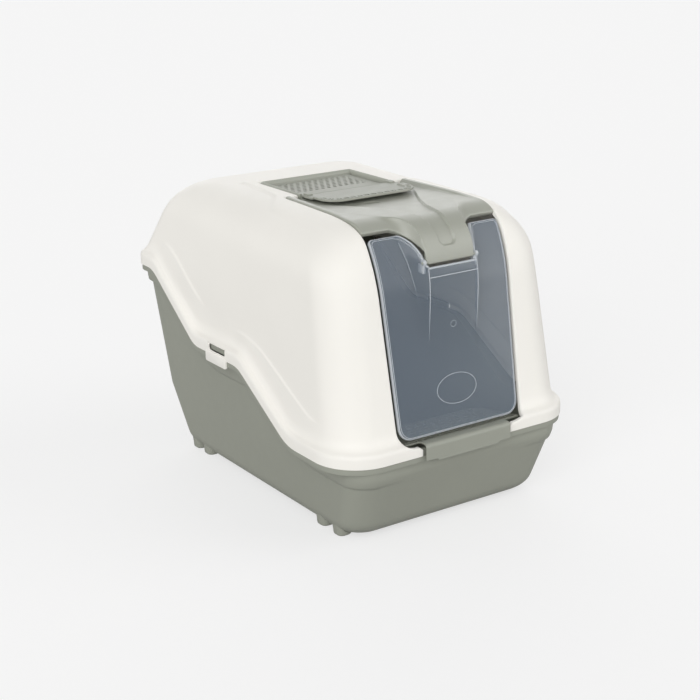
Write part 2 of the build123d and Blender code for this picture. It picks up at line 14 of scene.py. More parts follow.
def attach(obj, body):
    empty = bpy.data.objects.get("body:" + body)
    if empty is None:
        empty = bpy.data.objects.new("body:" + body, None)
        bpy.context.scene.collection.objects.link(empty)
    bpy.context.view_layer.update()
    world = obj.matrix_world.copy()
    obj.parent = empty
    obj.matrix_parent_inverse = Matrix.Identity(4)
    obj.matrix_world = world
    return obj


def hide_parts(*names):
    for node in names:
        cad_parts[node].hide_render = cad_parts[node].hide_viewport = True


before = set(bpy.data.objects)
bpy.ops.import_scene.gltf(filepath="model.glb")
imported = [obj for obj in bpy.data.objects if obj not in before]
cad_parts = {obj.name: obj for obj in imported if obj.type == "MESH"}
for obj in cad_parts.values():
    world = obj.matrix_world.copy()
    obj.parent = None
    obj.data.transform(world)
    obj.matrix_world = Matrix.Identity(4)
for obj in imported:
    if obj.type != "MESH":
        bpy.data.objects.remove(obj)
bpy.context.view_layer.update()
MM = 0.001

# %% [markdown]
# ## The tools of a mould maker
# A moulded skin can be made by hand with loops and a knife, but the outlines here are all known curves.
# So a sheet is laid out as rows and columns of points, an opening is cut where a distance function
# crosses zero, and the cut edge is rolled over with a small quarter round, as a real mould does to keep
# edges kind to skin.


# %% Sheets of quads
def sheet_faces(rows, columns, closed):
    """Quads over a grid of points; closed joins the last column to the first."""
    here = np.arange(rows * columns).reshape(rows, columns)
    right = np.roll(here, -1, axis=1)
    quads = np.stack([here[:-1], right[:-1], right[1:], here[1:]], -1)
    return (quads if closed else quads[:, :-1]).reshape(-1, 4)


def point_normals(points, faces):
    """One averaged direction per point, from the quads round it."""
    corner = points[faces]
    across = np.cross(corner[:, 2] - corner[:, 0], corner[:, 3] - corner[:, 1])
    total = np.zeros_like(points)
    for side in range(4):
        np.add.at(total, faces[:, side], across)
    return total / np.maximum(np.linalg.norm(total, axis=1, keepdims=True), 1e-9)


def smooth_step(value, low, high):
    """0 below low, 1 above high, and an S-curve between."""
    t = np.clip((value - low) / (high - low), 0, 1)
    return t * t * (3 - 2 * t)


def soft_line(knots, blur):
    """A function through knots whose corners are rounded over a length of blur."""
    x = np.arange(knots[0][0] - 60, knots[-1][0] + 60, 1.0)
    y = np.interp(x, [k[0] for k in knots], [k[1] for k in knots])
    kernel = np.exp(-0.5 * (np.arange(-3 * blur, 3 * blur + 1) / blur) ** 2)
    wide = np.pad(y, int(3 * blur), mode="edge")
    y = np.convolve(wide, kernel / kernel.sum(), mode="valid")
    return lambda at: np.interp(at, x, y)


# %% Cut a sheet along a curve and roll the edge over
def quarter_roll(radius, depth):
    """Steps (outwards, down) of an edge that rolls over by a quarter circle and then hangs down."""
    angles = np.radians([22.5, 45, 67.5, 90])
    steps = [(radius * np.sin(a), radius * (1 - np.cos(a))) for a in angles]
    return steps + ([(radius, radius + depth)] if depth else [])


def cut_sheet(points, faces, keep, lip):
    """Drops the sheet where keep() is under the lip's reach, then sweeps the lip along the cut."""
    points, faces = np.asarray(points, float).reshape(-1, 3), np.asarray(faces)
    reach = lip[-1][0] if lip else 0
    normals = point_normals(points, faces)
    inside = keep(points) >= reach
    count = inside[faces].sum(1)
    kept = faces[count == 4].tolist()
    mixed = faces[(count > 0) & (count < 4)]
    ends = {}
    for quad in mixed:
        for a, b in zip(quad, np.roll(quad, -1)):
            if inside[a] != inside[b]:
                ends.setdefault((min(a, b), max(a, b)), (a, b) if inside[a] else (b, a))
    first = np.array([e[0] for e in ends.values()])
    second = np.array([e[1] for e in ends.values()])
    low, high = np.zeros(len(first)), np.ones(len(first))
    for _ in range(14):
        middle = (low + high) / 2
        held = keep(points[first] + (points[second] - points[first]) * middle[:, None]) >= reach
        low, high = np.where(held, middle, low), np.where(held, high, middle)
    cut = points[first] + (points[second] - points[first]) * low[:, None]
    normal = normals[first] + (normals[second] - normals[first]) * low[:, None]
    normal /= np.linalg.norm(normal, axis=1, keepdims=True)
    slope = np.stack([keep(cut + step) - keep(cut - step) for step in np.eye(3) * 0.3], 1)
    away = -(slope - normal * (slope * normal).sum(1, keepdims=True))
    away /= np.maximum(np.linalg.norm(away, axis=1, keepdims=True), 1e-9)
    number = {key: len(points) + i for i, key in enumerate(ends)}
    rings = [cut] + [cut + away * out - normal * down for out, down in lip]
    new_faces = []
    for quad in mixed:
        polygon, seam = [], []
        for a, b in zip(quad, np.roll(quad, -1)):
            if inside[a]:
                polygon.append(int(a))
            if inside[a] != inside[b]:
                point = number[(min(a, b), max(a, b))]
                polygon.append(point)
                seam.append((point, bool(inside[a])))
        new_faces.append(polygon)
        if len(seam) == 2:
            leaving = [p for p, out in seam if out][0]
            entering = [p for p, out in seam if not out][0]
            for ring in range(len(lip)):
                a, b = leaving + ring * len(cut), entering + ring * len(cut)
                new_faces.append([b, a, a + len(cut), b + len(cut)])
    return np.concatenate([points] + rings), kept + new_faces


# %% From points to a closed moulding
def skin(points, faces, wall=0.0, merge=0.15, name="part", even=False):
    """A mesh in metres; wall gives the sheet its thickness, inwards, and even keeps it true in bends."""
    work = bmesh.new()
    mesh = bpy.data.meshes.new(name)
    mesh.from_pydata((np.asarray(points, float).reshape(-1, 3) * MM).tolist(), [], [list(f) for f in faces])
    work.from_mesh(mesh)
    bmesh.ops.delete(work, geom=[v for v in work.verts if not v.link_faces], context="VERTS")
    bmesh.ops.remove_doubles(work, verts=work.verts, dist=merge * MM)
    bmesh.ops.dissolve_degenerate(work, edges=work.edges, dist=0.02 * MM)
    work.to_mesh(mesh)
    work.free()
    if not wall:
        return mesh
    holder = bpy.data.objects.new(name, mesh)
    bpy.context.scene.collection.objects.link(holder)
    thick = holder.modifiers.new("wall", "SOLIDIFY")
    thick.thickness = wall * MM
    thick.offset = -1
    thick.use_even_offset = even
    thick.use_quality_normals = True
    bpy.context.view_layer.update()
    solid = bpy.data.meshes.new_from_object(holder.evaluated_get(bpy.context.evaluated_depsgraph_get()))
    bpy.data.objects.remove(holder)
    return solid


def capped(rows, inside_out=True):
    """Points and faces of rings stacked along a length, with a flat face over each end."""
    points = np.asarray(rows, float)
    count, around = points.shape[:2]
    faces = sheet_faces(count, around, True)
    ends = [list(range(around)), list(range((count - 1) * around, count * around))[::-1]]
    if inside_out:
        faces = faces[:, ::-1]
    else:
        ends = [end[::-1] for end in ends]
    return points.reshape(-1, 3), faces.tolist() + ends


def arc(x, y, radius, degrees):
    """Points round (x, y) at the given angles, counted from +x towards +y."""
    turn = np.radians(degrees)
    return list(zip(x + radius * np.cos(turn), y + radius * np.sin(turn)))


def tube(path, radius, closed=False, sides=8):
    """A round bead swept along a path of points, with flat ends where it is open."""
    path = np.asarray(path, float)
    ahead = np.roll(path, -1, 0) - np.roll(path, 1, 0)
    if not closed:
        ahead[0], ahead[-1] = path[1] - path[0], path[-1] - path[-2]
    ahead /= np.linalg.norm(ahead, axis=1, keepdims=True)
    up = np.where(np.abs(ahead[:, 1:2]) > 0.9, [[0.0, 0.0, 1.0]], [[0.0, 1.0, 0.0]])
    across = np.cross(ahead, up)
    across /= np.linalg.norm(across, axis=1, keepdims=True)
    lift = np.cross(across, ahead)
    angle = np.linspace(0, 2 * np.pi, sides, endpoint=False)[None, :, None]
    size = np.broadcast_to(radius, len(path))[:, None, None]
    rows = path[:, None] + size * (np.cos(angle) * across[:, None] + np.sin(angle) * lift[:, None])
    if closed:
        rows = np.concatenate([rows, rows[:1]])
        return rows.reshape(-1, 3), sheet_faces(len(rows), sides, True)[:, ::-1].tolist()
    return capped(rows)


def rod(x_low, x_high, y, z, radius, chamfer=0.4, sides=28):
    """A round bar along X with chamfered ends."""
    stations = [(x_low, radius - chamfer), (x_low + chamfer, radius)]
    stations += [(x_high - chamfer, radius), (x_high, radius - chamfer)]
    angle = np.linspace(0, 2 * np.pi, sides, endpoint=False)
    across, up = np.cos(angle), np.sin(angle)
    return capped([np.stack([np.full(sides, x), y + r * across, z + r * up], 1) for x, r in stations])


def pad(centre, size, radius, stack, turn=None):
    """A rounded rectangle stacked through (height, inset) pairs and capped; turn is a 3 x 3 matrix."""
    half_x, half_y = size[0] / 2, size[1] / 2
    angle = np.radians(np.linspace(0, 90, 7))
    rows = []
    for height, inset in stack:
        r = max(radius - inset, 0.2)
        corner = np.stack([np.cos(angle), np.sin(angle)], 1) * r
        corner += [half_x - inset - r, half_y - inset - r]
        ring = [corner, corner[::-1] * [-1, 1], corner * [-1, -1], corner[::-1] * [1, -1]]
        ring = np.concatenate(ring)
        rows.append(np.column_stack([ring, np.full(len(ring), height)]))
    points, faces = capped(rows, inside_out=False)
    if turn is not None:
        points = points @ np.asarray(turn, float).T
    return points + np.asarray(centre, float), faces


TURN_SIDE = [[0, 0, 1], [1, 0, 0], [0, 1, 0]]


def assemble(name, parts, materials, body, nodes):
    """Joins parts, each (mesh, material number or a function of a face), into one piece on a body."""
    work = bmesh.new()
    for mesh, finish in parts:
        start = len(work.faces)
        work.from_mesh(mesh)
        work.faces.ensure_lookup_table()
        for face in work.faces[start:]:
            face.material_index = finish(face) if callable(finish) else finish
    mesh = bpy.data.meshes.new(name)
    work.to_mesh(mesh)
    work.free()
    mesh.shade_smooth()
    mesh.set_sharp_from_angle(angle=np.radians(38))
    for material in materials:
        mesh.materials.append(material)
    piece = bpy.data.objects.new(name, mesh)
    bpy.context.scene.collection.objects.link(piece)
    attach(piece, body)
    if nodes:
        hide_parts(*nodes)
    print(name, len(mesh.vertices), "points", [round(v / MM) for v in piece.dimensions])
    return piece


def both_sides(points, faces):
    """The same part on both sides of the centre plane."""
    points = np.asarray(points, float)
    twin = [[i + len(points) for i in f][::-1] for f in faces]
    return np.concatenate([points, points * [-1, 1, 1]]), [list(f) for f in faces] + twin


# %% [markdown]
# ## Outlines shared by the big mouldings
# Tray, rim and hood are all rounded four-sided outlines that change with height. If every outline is laid
# out with the same columns, straight by straight and corner by corner, a wall is simply one column of
# points that moves from outline to outline, and its shading stays clean. A Boolean of solids would leave
# long thin faces.

# %% Columns round the box
SEGMENTS = [(30, False), (20, True), (100, False), (16, True), (26, False)]
half_part = np.concatenate([np.full(n, i) for i, (n, _) in enumerate(SEGMENTS)])
half_place = [(np.arange(n) + (0.5 if i in (0, 4) else 0)) / n for i, (n, _) in enumerate(SEGMENTS)]
half_place = np.concatenate(half_place)
PART = np.concatenate([half_part, half_part[::-1]])
PLACE = np.concatenate([half_place, half_place[::-1]])
SIDE = np.concatenate([np.ones(len(half_part)), -np.ones(len(half_part))])
COLUMNS = len(PART)


def outline(front_half, rear_half, front, rear, front_radius, rear_radius):
    """x and y of every column; each argument is one number or one number per column."""
    values = (front_half, rear_half, front, rear, front_radius, rear_radius)
    fh, rh, f, r, fr, rr = (np.broadcast_to(np.asarray(v, float), COLUMNS) for v in values)
    length = np.hypot(rh - fh, r - f)
    nx, ny = (r - f) / length, -(rh - fh) / length
    lean = np.arctan2(ny, nx)
    front_x, rear_x = fh - fr * (1 + ny) / nx, rh - rr * (1 - ny) / nx
    front_turn = -np.pi / 2 + PLACE * (lean + np.pi / 2)
    rear_turn = lean + PLACE * (np.pi / 2 - lean)
    start = (front_x + fr * nx, f + fr + fr * ny)
    end = (rear_x + rr * nx, r - rr + rr * ny)
    x = np.choose(PART, [
        PLACE * front_x, front_x + fr * np.cos(front_turn), start[0] + (end[0] - start[0]) * PLACE,
        rear_x + rr * np.cos(rear_turn), (1 - PLACE) * rear_x])
    y = np.choose(PART, [
        f, f + fr + fr * np.sin(front_turn), start[1] + (end[1] - start[1]) * PLACE,
        r - rr + rr * np.sin(rear_turn), r])
    return x * SIDE, y


print("columns round the box:", COLUMNS)

# %% The wavy rim line, where the hood sits on the tray
RIM_LOW, RIM_MID, RIM_HIGH = 115.0, 188.0, 272.0
ROUTE = [(-300, RIM_LOW), (-138, RIM_LOW), (-18, RIM_MID), (100, RIM_MID), (216, RIM_HIGH), (300, RIM_HIGH)]
BENDS = [70, 45, 40, 40]


def bent_line(route, bends):
    """A function of y through a route whose corners are arcs."""
    points = [np.array(route[0], float)]
    for before, corner, after, radius in zip(route, route[1:], route[2:], bends):
        before, corner, after = (np.array(p, float) for p in (before, corner, after))
        back, on = before - corner, after - corner
        back, on = back / np.linalg.norm(back), on / np.linalg.norm(on)
        half = np.arccos(np.clip(back @ on, -1, 1)) / 2
        reach = radius / np.tan(half)
        start, end = corner + back * reach, corner + on * reach
        centre = corner + (back + on) / np.linalg.norm(back + on) * radius / np.sin(half)
        for t in np.linspace(0, 1, 15):
            spoke = start * (1 - t) + end * t - centre
            points.append(centre + spoke / np.linalg.norm(spoke) * radius)
    points.append(np.array(route[-1], float))
    line = np.array(points)
    return lambda y: np.interp(y, line[:, 0], line[:, 1])


rim = bent_line(ROUTE, BENDS)
RIM_HALF, RIM_FRONT, RIM_REAR, RIM_RADII = 190.0, -266.5, 270.0, (62.0, 26.0)


def rim_outline(inset):
    """The rim's plan, drawn in by inset."""
    return outline(RIM_HALF - inset, RIM_HALF - inset, RIM_FRONT + inset, RIM_REAR - inset,
                   RIM_RADII[0] - inset, RIM_RADII[1] - inset)


rim_x, rim_y = rim_outline(0)
rim_z = rim(rim_y)
print("rim from", rim_z.min(), "to", rim_z.max())

# %% Walls of the hood: drafted sides that roll into a flat top, and a bowed front
HOOD_TOP = 400.0
HOOD_HALF, SIDE_DRAFT, SIDE_ROUND, TAIL_ROUND = 181.0, 0.05, 75.0, 52.0
HOOD_REAR, REAR_DRAFT = 262.0, 0.33
BROW_START, BROW_RADIUS, BROW_TURN = -155.0, 50.0, np.radians(60)
FRONT_RADIUS, FRONT_TURN = 200.0, np.radians(80)


def wall_line(z, size, level, draft, rounding):
    """Distance from the axis of a drafted wall that rolls into the top with one arc."""
    lean = np.arctan(draft)
    centre_z = HOOD_TOP - rounding
    centre = size - draft * (centre_z - level) - rounding / np.cos(lean)
    arc = centre + np.sqrt(np.maximum(0, rounding**2 - (z - centre_z) ** 2))
    return np.where(z <= centre_z + rounding * np.sin(lean), size - draft * (z - level), arc)


def front_line(z):
    """Y of the hood's front: brow arc, wide arc, then a straight slope."""
    z = np.asarray(z, float)
    brow_z = HOOD_TOP - BROW_RADIUS * (1 - np.cos(BROW_TURN))
    brow_y = BROW_START - BROW_RADIUS * np.sin(BROW_TURN)
    centre_y = brow_y + FRONT_RADIUS * np.sin(BROW_TURN)
    centre_z = brow_z - FRONT_RADIUS * np.cos(BROW_TURN)
    last_z = centre_z + FRONT_RADIUS * np.cos(FRONT_TURN)
    brow = BROW_START - BROW_RADIUS * np.sin(np.arccos(np.clip(1 - (HOOD_TOP - z) / BROW_RADIUS, -1, 1)))
    wide = centre_y - np.sqrt(np.maximum(0, FRONT_RADIUS**2 - (z - centre_z) ** 2))
    slope = centre_y - FRONT_RADIUS * np.sin(FRONT_TURN) - (last_z - z) / np.tan(FRONT_TURN)
    return np.where(z >= brow_z, brow, np.where(z >= last_z, wide, slope))


TAIL_LEAN = soft_line([(60, 0), (200, 4), (268, 12), (290, 11), (312, 7), (340, 1.5), (370, -3),
                       (400, -6)], 8)


def hood_outline(z, swell=0.0):
    """The hood's plan at one height per column, swollen outwards by swell."""
    front_half = wall_line(z, HOOD_HALF, 112, SIDE_DRAFT, SIDE_ROUND) + swell
    rear_half = wall_line(z, HOOD_HALF, 112, SIDE_DRAFT, TAIL_ROUND) + swell + 0.8 * TAIL_LEAN(z)
    rear = wall_line(z, HOOD_REAR, RIM_HIGH, REAR_DRAFT, TAIL_ROUND) + TAIL_LEAN(z)
    return outline(front_half, rear_half, front_line(z), rear, 51, 22 + 0.12 * np.maximum(z - 300, 0))


# %% [markdown]
# ## The hood
# One big moulding with a rolled flange at its foot, an embossed line that follows the rim at a hand's
# breadth, and a top that steps up softly round the hatch. The flange and the wall share their columns:
# each column leaves the flange, turns through a small fillet and climbs the wall, with its rows packed
# close wherever the surface bends. The doorway and the hatch opening are then cut by a distance function.

# %% Rows of the hood's skin
EMBOSS = soft_line([(-300, 160), (-207, 160), (-178, 164), (-61, 222), (-21, 232), (65, 231), (143, 283),
                    (172, 300), (200, 312), (300, 320)], 5)
EMBOSS_HEIGHT = 1.3
FLANGE = [(0, 0), (0, 3), (0, 5.5), (0, 8), (0, 10.5), (0.01, 12.5), (0.05, 14.6), (0.13, 16.2), (0.26, 17.4),
          (0.44, 18.3), (0.62, 19.6), (0.78, 21.8), (0.9, 25), (0.97, 29), (1, 33)]
EMBOSS_BLUR = 2.5
emboss_z = EMBOSS(rim_y)
emboss_here = smooth_step(rim_y, 60, 95) * (1 - smooth_step(rim_y, 190, 225))
emboss_here = emboss_here + smooth_step(rim_y, -215, -180) * (1 - smooth_step(rim_y, -40, -8))
rows = []
for blend, height in FLANGE:
    z = rim_z + height
    for _ in range(6):
        wall_x, wall_y = hood_outline(z, EMBOSS_HEIGHT * emboss_here)
        row_x, row_y = rim_x + (wall_x - rim_x) * blend, rim_y + (wall_y - rim_y) * blend
        z = rim(row_y) + height
    rows.append(np.stack([row_x, row_y, z], 1))
foot_z = rows[-1][:, 2]
emboss_z = np.maximum(EMBOSS(rows[-1][:, 1]), foot_z + 8)
heights = [foot_z + (emboss_z - 3 - foot_z) * t for t in (0.35, 0.7)]
heights += [emboss_z + d for d in (-3, -1.5, 0, 1.5, 3)]
TOP_ROWS = 40
heights += [HOOD_TOP - (HOOD_TOP - emboss_z - 3) * (1 - (i + 1) / TOP_ROWS) ** 2 for i in range(TOP_ROWS)]
for z in heights:
    swell = EMBOSS_HEIGHT * emboss_here * (1 - smooth_step(z - emboss_z, -EMBOSS_BLUR, EMBOSS_BLUR))
    rows.append(np.stack([*hood_outline(z, swell), z], 1))
edge = rows[-1]
opening = np.stack([*outline(70, 70, -135, 96, 3, 3), edge[:, 2]], 1)
for t in np.linspace(0, 1, 26)[1:]:
    rows.append(edge + (opening - edge) * t)
hood_points = np.stack(rows)
print("hood skin:", hood_points.shape)

# %% The soft step round the hatch on the top
PLATEAU = soft_line([(-230, 135), (-161, 133), (-17, 128), (20, 97), (94, 88), (300, 88)], 4)
STEP_DOWN = 2.8
flat = hood_points.reshape(-1, 3)
past = np.maximum(np.abs(flat[:, 0]) - PLATEAU(flat[:, 1]), flat[:, 1] - 123)
outside = smooth_step(past, -1, 6)
flat[:, 2] -= STEP_DOWN * outside * smooth_step(flat[:, 2], 330, 385)

# %% The doorway, the hatch opening, the step's notch and the clip slots
DOOR_HALF, DOOR_TOP_HALF, DOOR_LOW, DOOR_CORNER, DOOR_TOP_Y = 98.5, 105.2, 127.0, 20.0, -150.0
FRAME_CUT, FRAME_REAR = 76.0, 105.9
CLIP_HALF = 69.0


def rounded(dx, dy, radius):
    """Signed distance outside a corner whose two sides are dx and dy away."""
    a, b = dx + radius, dy + radius
    return np.minimum(np.maximum(a, b), 0) + np.hypot(np.maximum(a, 0), np.maximum(b, 0)) - radius


def outside_door(p):
    """Distance outside the doorway and the hatch opening; negative in the hole."""
    x, y, z = np.abs(p[:, 0]), p[:, 1], p[:, 2]
    door_half = DOOR_HALF + (z - DOOR_LOW) * (DOOR_TOP_HALF - DOOR_HALF) / (HOOD_TOP - DOOR_LOW)
    front = rounded(x - door_half, DOOR_LOW - z, DOOR_CORNER)
    hatch_half = DOOR_HALF + y * (DOOR_TOP_HALF - DOOR_HALF) / DOOR_TOP_Y
    top = np.minimum(rounded(x - hatch_half, y - 0.5, 2), rounded(x - FRAME_CUT, y - FRAME_REAR, 3))
    return np.where((y < DOOR_TOP_Y), front, np.where(z > 320, top, 99))


def outside_notch(p):
    """Distance outside the gap that lets the entry step's clip through the flange."""
    x, y, z = np.abs(p[:, 0]), p[:, 1], p[:, 2]
    return np.where(y < -200, rounded(x - CLIP_HALF, z - 132.5, 1), 99)


def outside_slot(p):
    """Distance outside the clip slots in the flange's sides."""
    x, y, z = np.abs(p[:, 0]), p[:, 1], p[:, 2]
    return np.where(x > 170, rounded(np.abs(y - 35.5) - 21, np.abs(z - 198) - 4.4, 2.2), 99)


faces = sheet_faces(len(rows), COLUMNS, True)
points, faces = cut_sheet(hood_points, faces, outside_slot, quarter_roll(0.8, 0))
quads = [f for f in faces if len(f) == 4]
others = [f for f in faces if len(f) != 4]
hood_keep = lambda p: np.minimum(outside_door(p), outside_notch(p))
door_points, door_faces = cut_sheet(points, np.array(quads), hood_keep, quarter_roll(2.3, 3.5))
hood_skin = skin(door_points, door_faces + others, 2.2, name="hood_skin", even=True)

# %% Side clips and the bearings for the hatch's pins
CLIP_STACK = [(-2.4, 0), (0, 0), (0.5, 0.15), (0.85, 0.5), (1.0, 1.0)]
tongue = both_sides(*pad((RIM_HALF, 39, RIM_MID - 4.5), (54, 15), 3, CLIP_STACK, TURN_SIDE))
SLOT_FRAME = [(13, 192.4), (58, 192.4), (58.6, 198), (58, 203.6), (13, 203.6), (12.4, 198)]
frame_bead = both_sides(*tube([(RIM_HALF - 0.3, y, z) for y, z in SLOT_FRAME], 0.8, closed=True))
LUG_STACK = [(390.5, 1), (391, 0.3), (391.5, 0), (398.2, 0)]
lug = both_sides(*pad((FRAME_CUT + 4.2, 100.2, 0), (6, 10), 1.2, LUG_STACK))
hood_parts = [(hood_skin, 0), (skin(*tongue), 0), (skin(*frame_bead), 0), (skin(*lug), 0)]

# %% [markdown]
# ## The tray
# A deep tub with drafted walls, a well-rounded bottom edge and a rim that climbs from front to back. Its
# lip is a folded skirt that shows as a thin band under the hood. The wall carries a band that stands a
# little proud under the rim. The section is one closed path, outside, over the lip and down the inside,
# swept by columns.

# %% Walls of the tray
FLOOR, EDGE, TUB_WALL = 2.5, 22.0, 2.4
TUB_HALF, TUB_DRAFT = 152.5, 0.12
TUB_FRONT, FRONT_LEAN, FRONT_KNEE = -225.0, 0.38, 92.0
TUB_REAR, REAR_LEAN, REAR_KNEE, UPPER_LEAN = 199.0, 0.43, 91.0, 0.05
TUB_FRONT_CORNER, TUB_REAR_CORNER, CORNER_TUCK = 35.0, 19.0, 0.3


def tray_outline(z, tuck=0.0, grow=0.0):
    """The tray's plan at a height; tuck draws in the rounded foot and grow swells the band."""
    h = z - FLOOR
    half = TUB_HALF + TUB_DRAFT * h - tuck + grow
    past_front, past_rear = np.maximum(0, h - FRONT_KNEE), np.maximum(0, h - REAR_KNEE)
    front = TUB_FRONT - FRONT_LEAN * np.minimum(h, FRONT_KNEE) - UPPER_LEAN * past_front + tuck - grow
    rear = TUB_REAR + REAR_LEAN * np.minimum(h, REAR_KNEE) + UPPER_LEAN * past_rear - tuck + grow
    return outline(half, half, front, rear, TUB_FRONT_CORNER - CORNER_TUCK * tuck,
                   TUB_REAR_CORNER - CORNER_TUCK * tuck)


BAND = soft_line([(-300, 31), (-135, 31), (-68, 30), (-14, 33), (68, 33), (110, 25), (160, 22),
                  (300, 22)], 6)
band_grow = 2.2 + 1.6 * smooth_step(rim_y, 190, 250)
band_grow *= 1 - (1 - smooth_step(np.abs(rim_x), 70, 150)) * (rim_y < -200)
tray_rows = []


def add_row(xy, z):
    """One more ring of the tray's section."""
    tray_rows.append(np.stack([xy[0], xy[1], np.broadcast_to(z, COLUMNS)], 1))


def under_rim(offset, tuck=0.0, grow=0.0):
    """A ring of the wall that keeps a distance from the rim line at its own place."""
    z = rim_z + (offset(rim_y) if callable(offset) else offset)
    for _ in range(8):
        x, y = tray_outline(z, tuck, grow)
        z = rim(y) + (offset(y) if callable(offset) else offset)
    return x, y, z


def climb(low, high, steps, **how):
    """Rings of the wall at even steps between two heights per column."""
    for t in (np.arange(steps) + 1) / steps:
        z = low + (high - low) * t
        add_row(tray_outline(z, **how), z)


base_x, base_y = tray_outline(np.full(COLUMNS, FLOOR), EDGE)
base_spine = np.clip(base_y, -150, 130)
for t in (1, 0.75, 0.5, 0.25):
    add_row((base_x * (1 - t), base_y + (base_spine - base_y) * t), FLOOR)
for turn in np.radians(np.linspace(0, 90, 10)):
    z = np.full(COLUMNS, FLOOR + EDGE * (1 - np.cos(turn)))
    add_row(tray_outline(z, EDGE * (1 - np.sin(turn))), z)
band_low, band_high = under_rim(lambda y: -2.5 - BAND(y))[2], under_rim(lambda y: 2.5 - BAND(y))[2]
climb(FLOOR + EDGE, band_low, 26)
for d in (-1.2, 0, 1.2, 2.5):
    z = band_low + d + 2.5
    add_row(tray_outline(z, 0, band_grow * smooth_step(d, -2, 2.2)), z)
climb(band_high, under_rim(-3.2)[2], 6, grow=band_grow)
LIP_SECTION = [(4.4, -3.4), (3.9, -4.2), (3.8, -7.8), (3.3, -8.5), (2.5, -8.6), (1.9, -8.2), (1.7, -7.4),
               (1.7, -4.5), (1.7, -1.0), (2.2, -0.4), (3.6, -0.4), (3.6, 5.4), (4.2, 7.2), (5.6, 8)]
for inset, height in LIP_SECTION:
    add_row(rim_outline(inset), rim_z + height)
for tuck, height in [(2.2, 8), (2.6, 6.5)]:
    *ring, z = under_rim(height, tuck)
    add_row(ring, z)
climb(z, 30.0, 14, tuck=TUB_WALL)
for turn in np.radians(np.linspace(80, 0, 8)):
    z = np.full(COLUMNS, FLOOR + TUB_WALL + EDGE * (1 - np.cos(turn)))
    add_row(tray_outline(z, TUB_WALL + EDGE * (1 - np.sin(turn))), z)
for t in (0.25, 0.5, 0.75, 1):
    add_row((base_x * (1 - t), base_y + (base_spine - base_y) * t), FLOOR + TUB_WALL)
tray_skin = skin(np.stack(tray_rows), sheet_faces(len(tray_rows), COLUMNS, True), name="tray_skin")

# %% Feet, in pairs at the four corners
FOOT_STACK = [(0, 3), (0.3, 1.6), (1.2, 0.5), (2.6, 0), (9, -0.6), (16, -1.4), (16, 1), (16, 3.5), (16, 6),
              (16, 8.5)]
FOOT_X, FOOT_SIZE, FOOT_CORNER, IN_WALL = 140.5, 21, 8, 1.2


def under_skin(x, y):
    """Height of the tub's rounded underside at x and y."""
    h = np.zeros_like(x)
    for _ in range(12):
        past_ends = np.maximum(TUB_FRONT - FRONT_LEAN * h - y, y - TUB_REAR - REAR_LEAN * h)
        past_side = np.abs(x) - TUB_HALF - TUB_DRAFT * h
        lean = np.clip(EDGE + rounded(past_side, past_ends, TUB_REAR_CORNER), 0, EDGE)
        h = EDGE - np.sqrt(EDGE**2 - lean**2)
    return FLOOR + h


tray_parts = [(tray_skin, 0)]
for foot_y in (-188, -150, 152, 184):
    one_side = pad((FOOT_X, foot_y, 0), (FOOT_SIZE, FOOT_SIZE), FOOT_CORNER, FOOT_STACK)
    foot, foot_faces = both_sides(*one_side)
    foot[:, 2] = np.minimum(foot[:, 2], under_skin(foot[:, 0], foot[:, 1]) + IN_WALL)
    tray_parts.append((skin(foot, foot_faces, merge=0.01), 0))
CATCH_STACK = [(0, 0), (3, 0), (3.4, 0.4)]
catch = both_sides(*pad((RIM_HALF - 7, 35.5, 194.5), (46, 18), 1.5, CATCH_STACK, TURN_SIDE))
tray_parts.append((skin(*catch), 0))
print("tray rows:", len(tray_rows))

# %% [markdown]
# ## The hatch
# The cover is flat behind and bows down in front, where its middle runs forward as a raised nose that
# carries the flap. Two profiles are walked side by side, one for the wings and one for the nose, and each
# column of points picks its place between them: fully on the nose inside the crease, and easing to the
# wing outside it.

# %% Two profiles
FLAT_Z, NOSE_Z = HOOD_TOP - 1, 399.3
NOSE_HALF, NOSE_START, NOSE_RADIUS, NOSE_TURN = 36.5, -174.0, 56.0, np.radians(80)
WING_TURN, NOSE_DROP = np.radians(9.5), 9.0


def walk(legs, stations):
    """Points at stations along a profile of straight and curved legs: (length,) or (radius, turn)."""
    y, z, heading, out = 0.0, 0.0, 0.0, [(0.0, 0.0, 0.0)]
    travelled = 0.0
    for leg in legs:
        radius, turn = (None, None) if len(leg) == 1 else leg
        length = leg[0] if radius is None else radius * turn
        for step in range(60):
            part = length / 60
            bend = 0 if radius is None else part / radius
            heading += bend / 2
            y, z = y - part * np.cos(heading), z - part * np.sin(heading)
            heading += bend / 2
            travelled += part
            out.append((travelled, y, z))
    out = np.array(out)
    return np.interp(stations, out[:, 0], out[:, 1]), np.interp(stations, out[:, 0], out[:, 2])


HATCH_ROWS, PARTING, WING_END, NOSE_END = 220, 130.0, 239.3, 261.2
wing_at = np.linspace(0, WING_END, HATCH_ROWS)
nose_at = wing_at + np.maximum(wing_at - PARTING, 0) * (NOSE_END - WING_END) / (WING_END - PARTING)
wing_legs = [(-BROW_START,), (BROW_RADIUS - 1, BROW_TURN), (FRONT_RADIUS - 1, WING_TURN)]
wing_y, wing_z = walk(wing_legs, wing_at)
nose_y, nose_z = walk([(-NOSE_START,), (NOSE_RADIUS, NOSE_TURN), (NOSE_DROP,)], nose_at)
wing_z, nose_z = wing_z + FLAT_Z, nose_z + NOSE_Z
print("nose ends at", nose_y[-1].round(1), nose_z[-1].round(1))

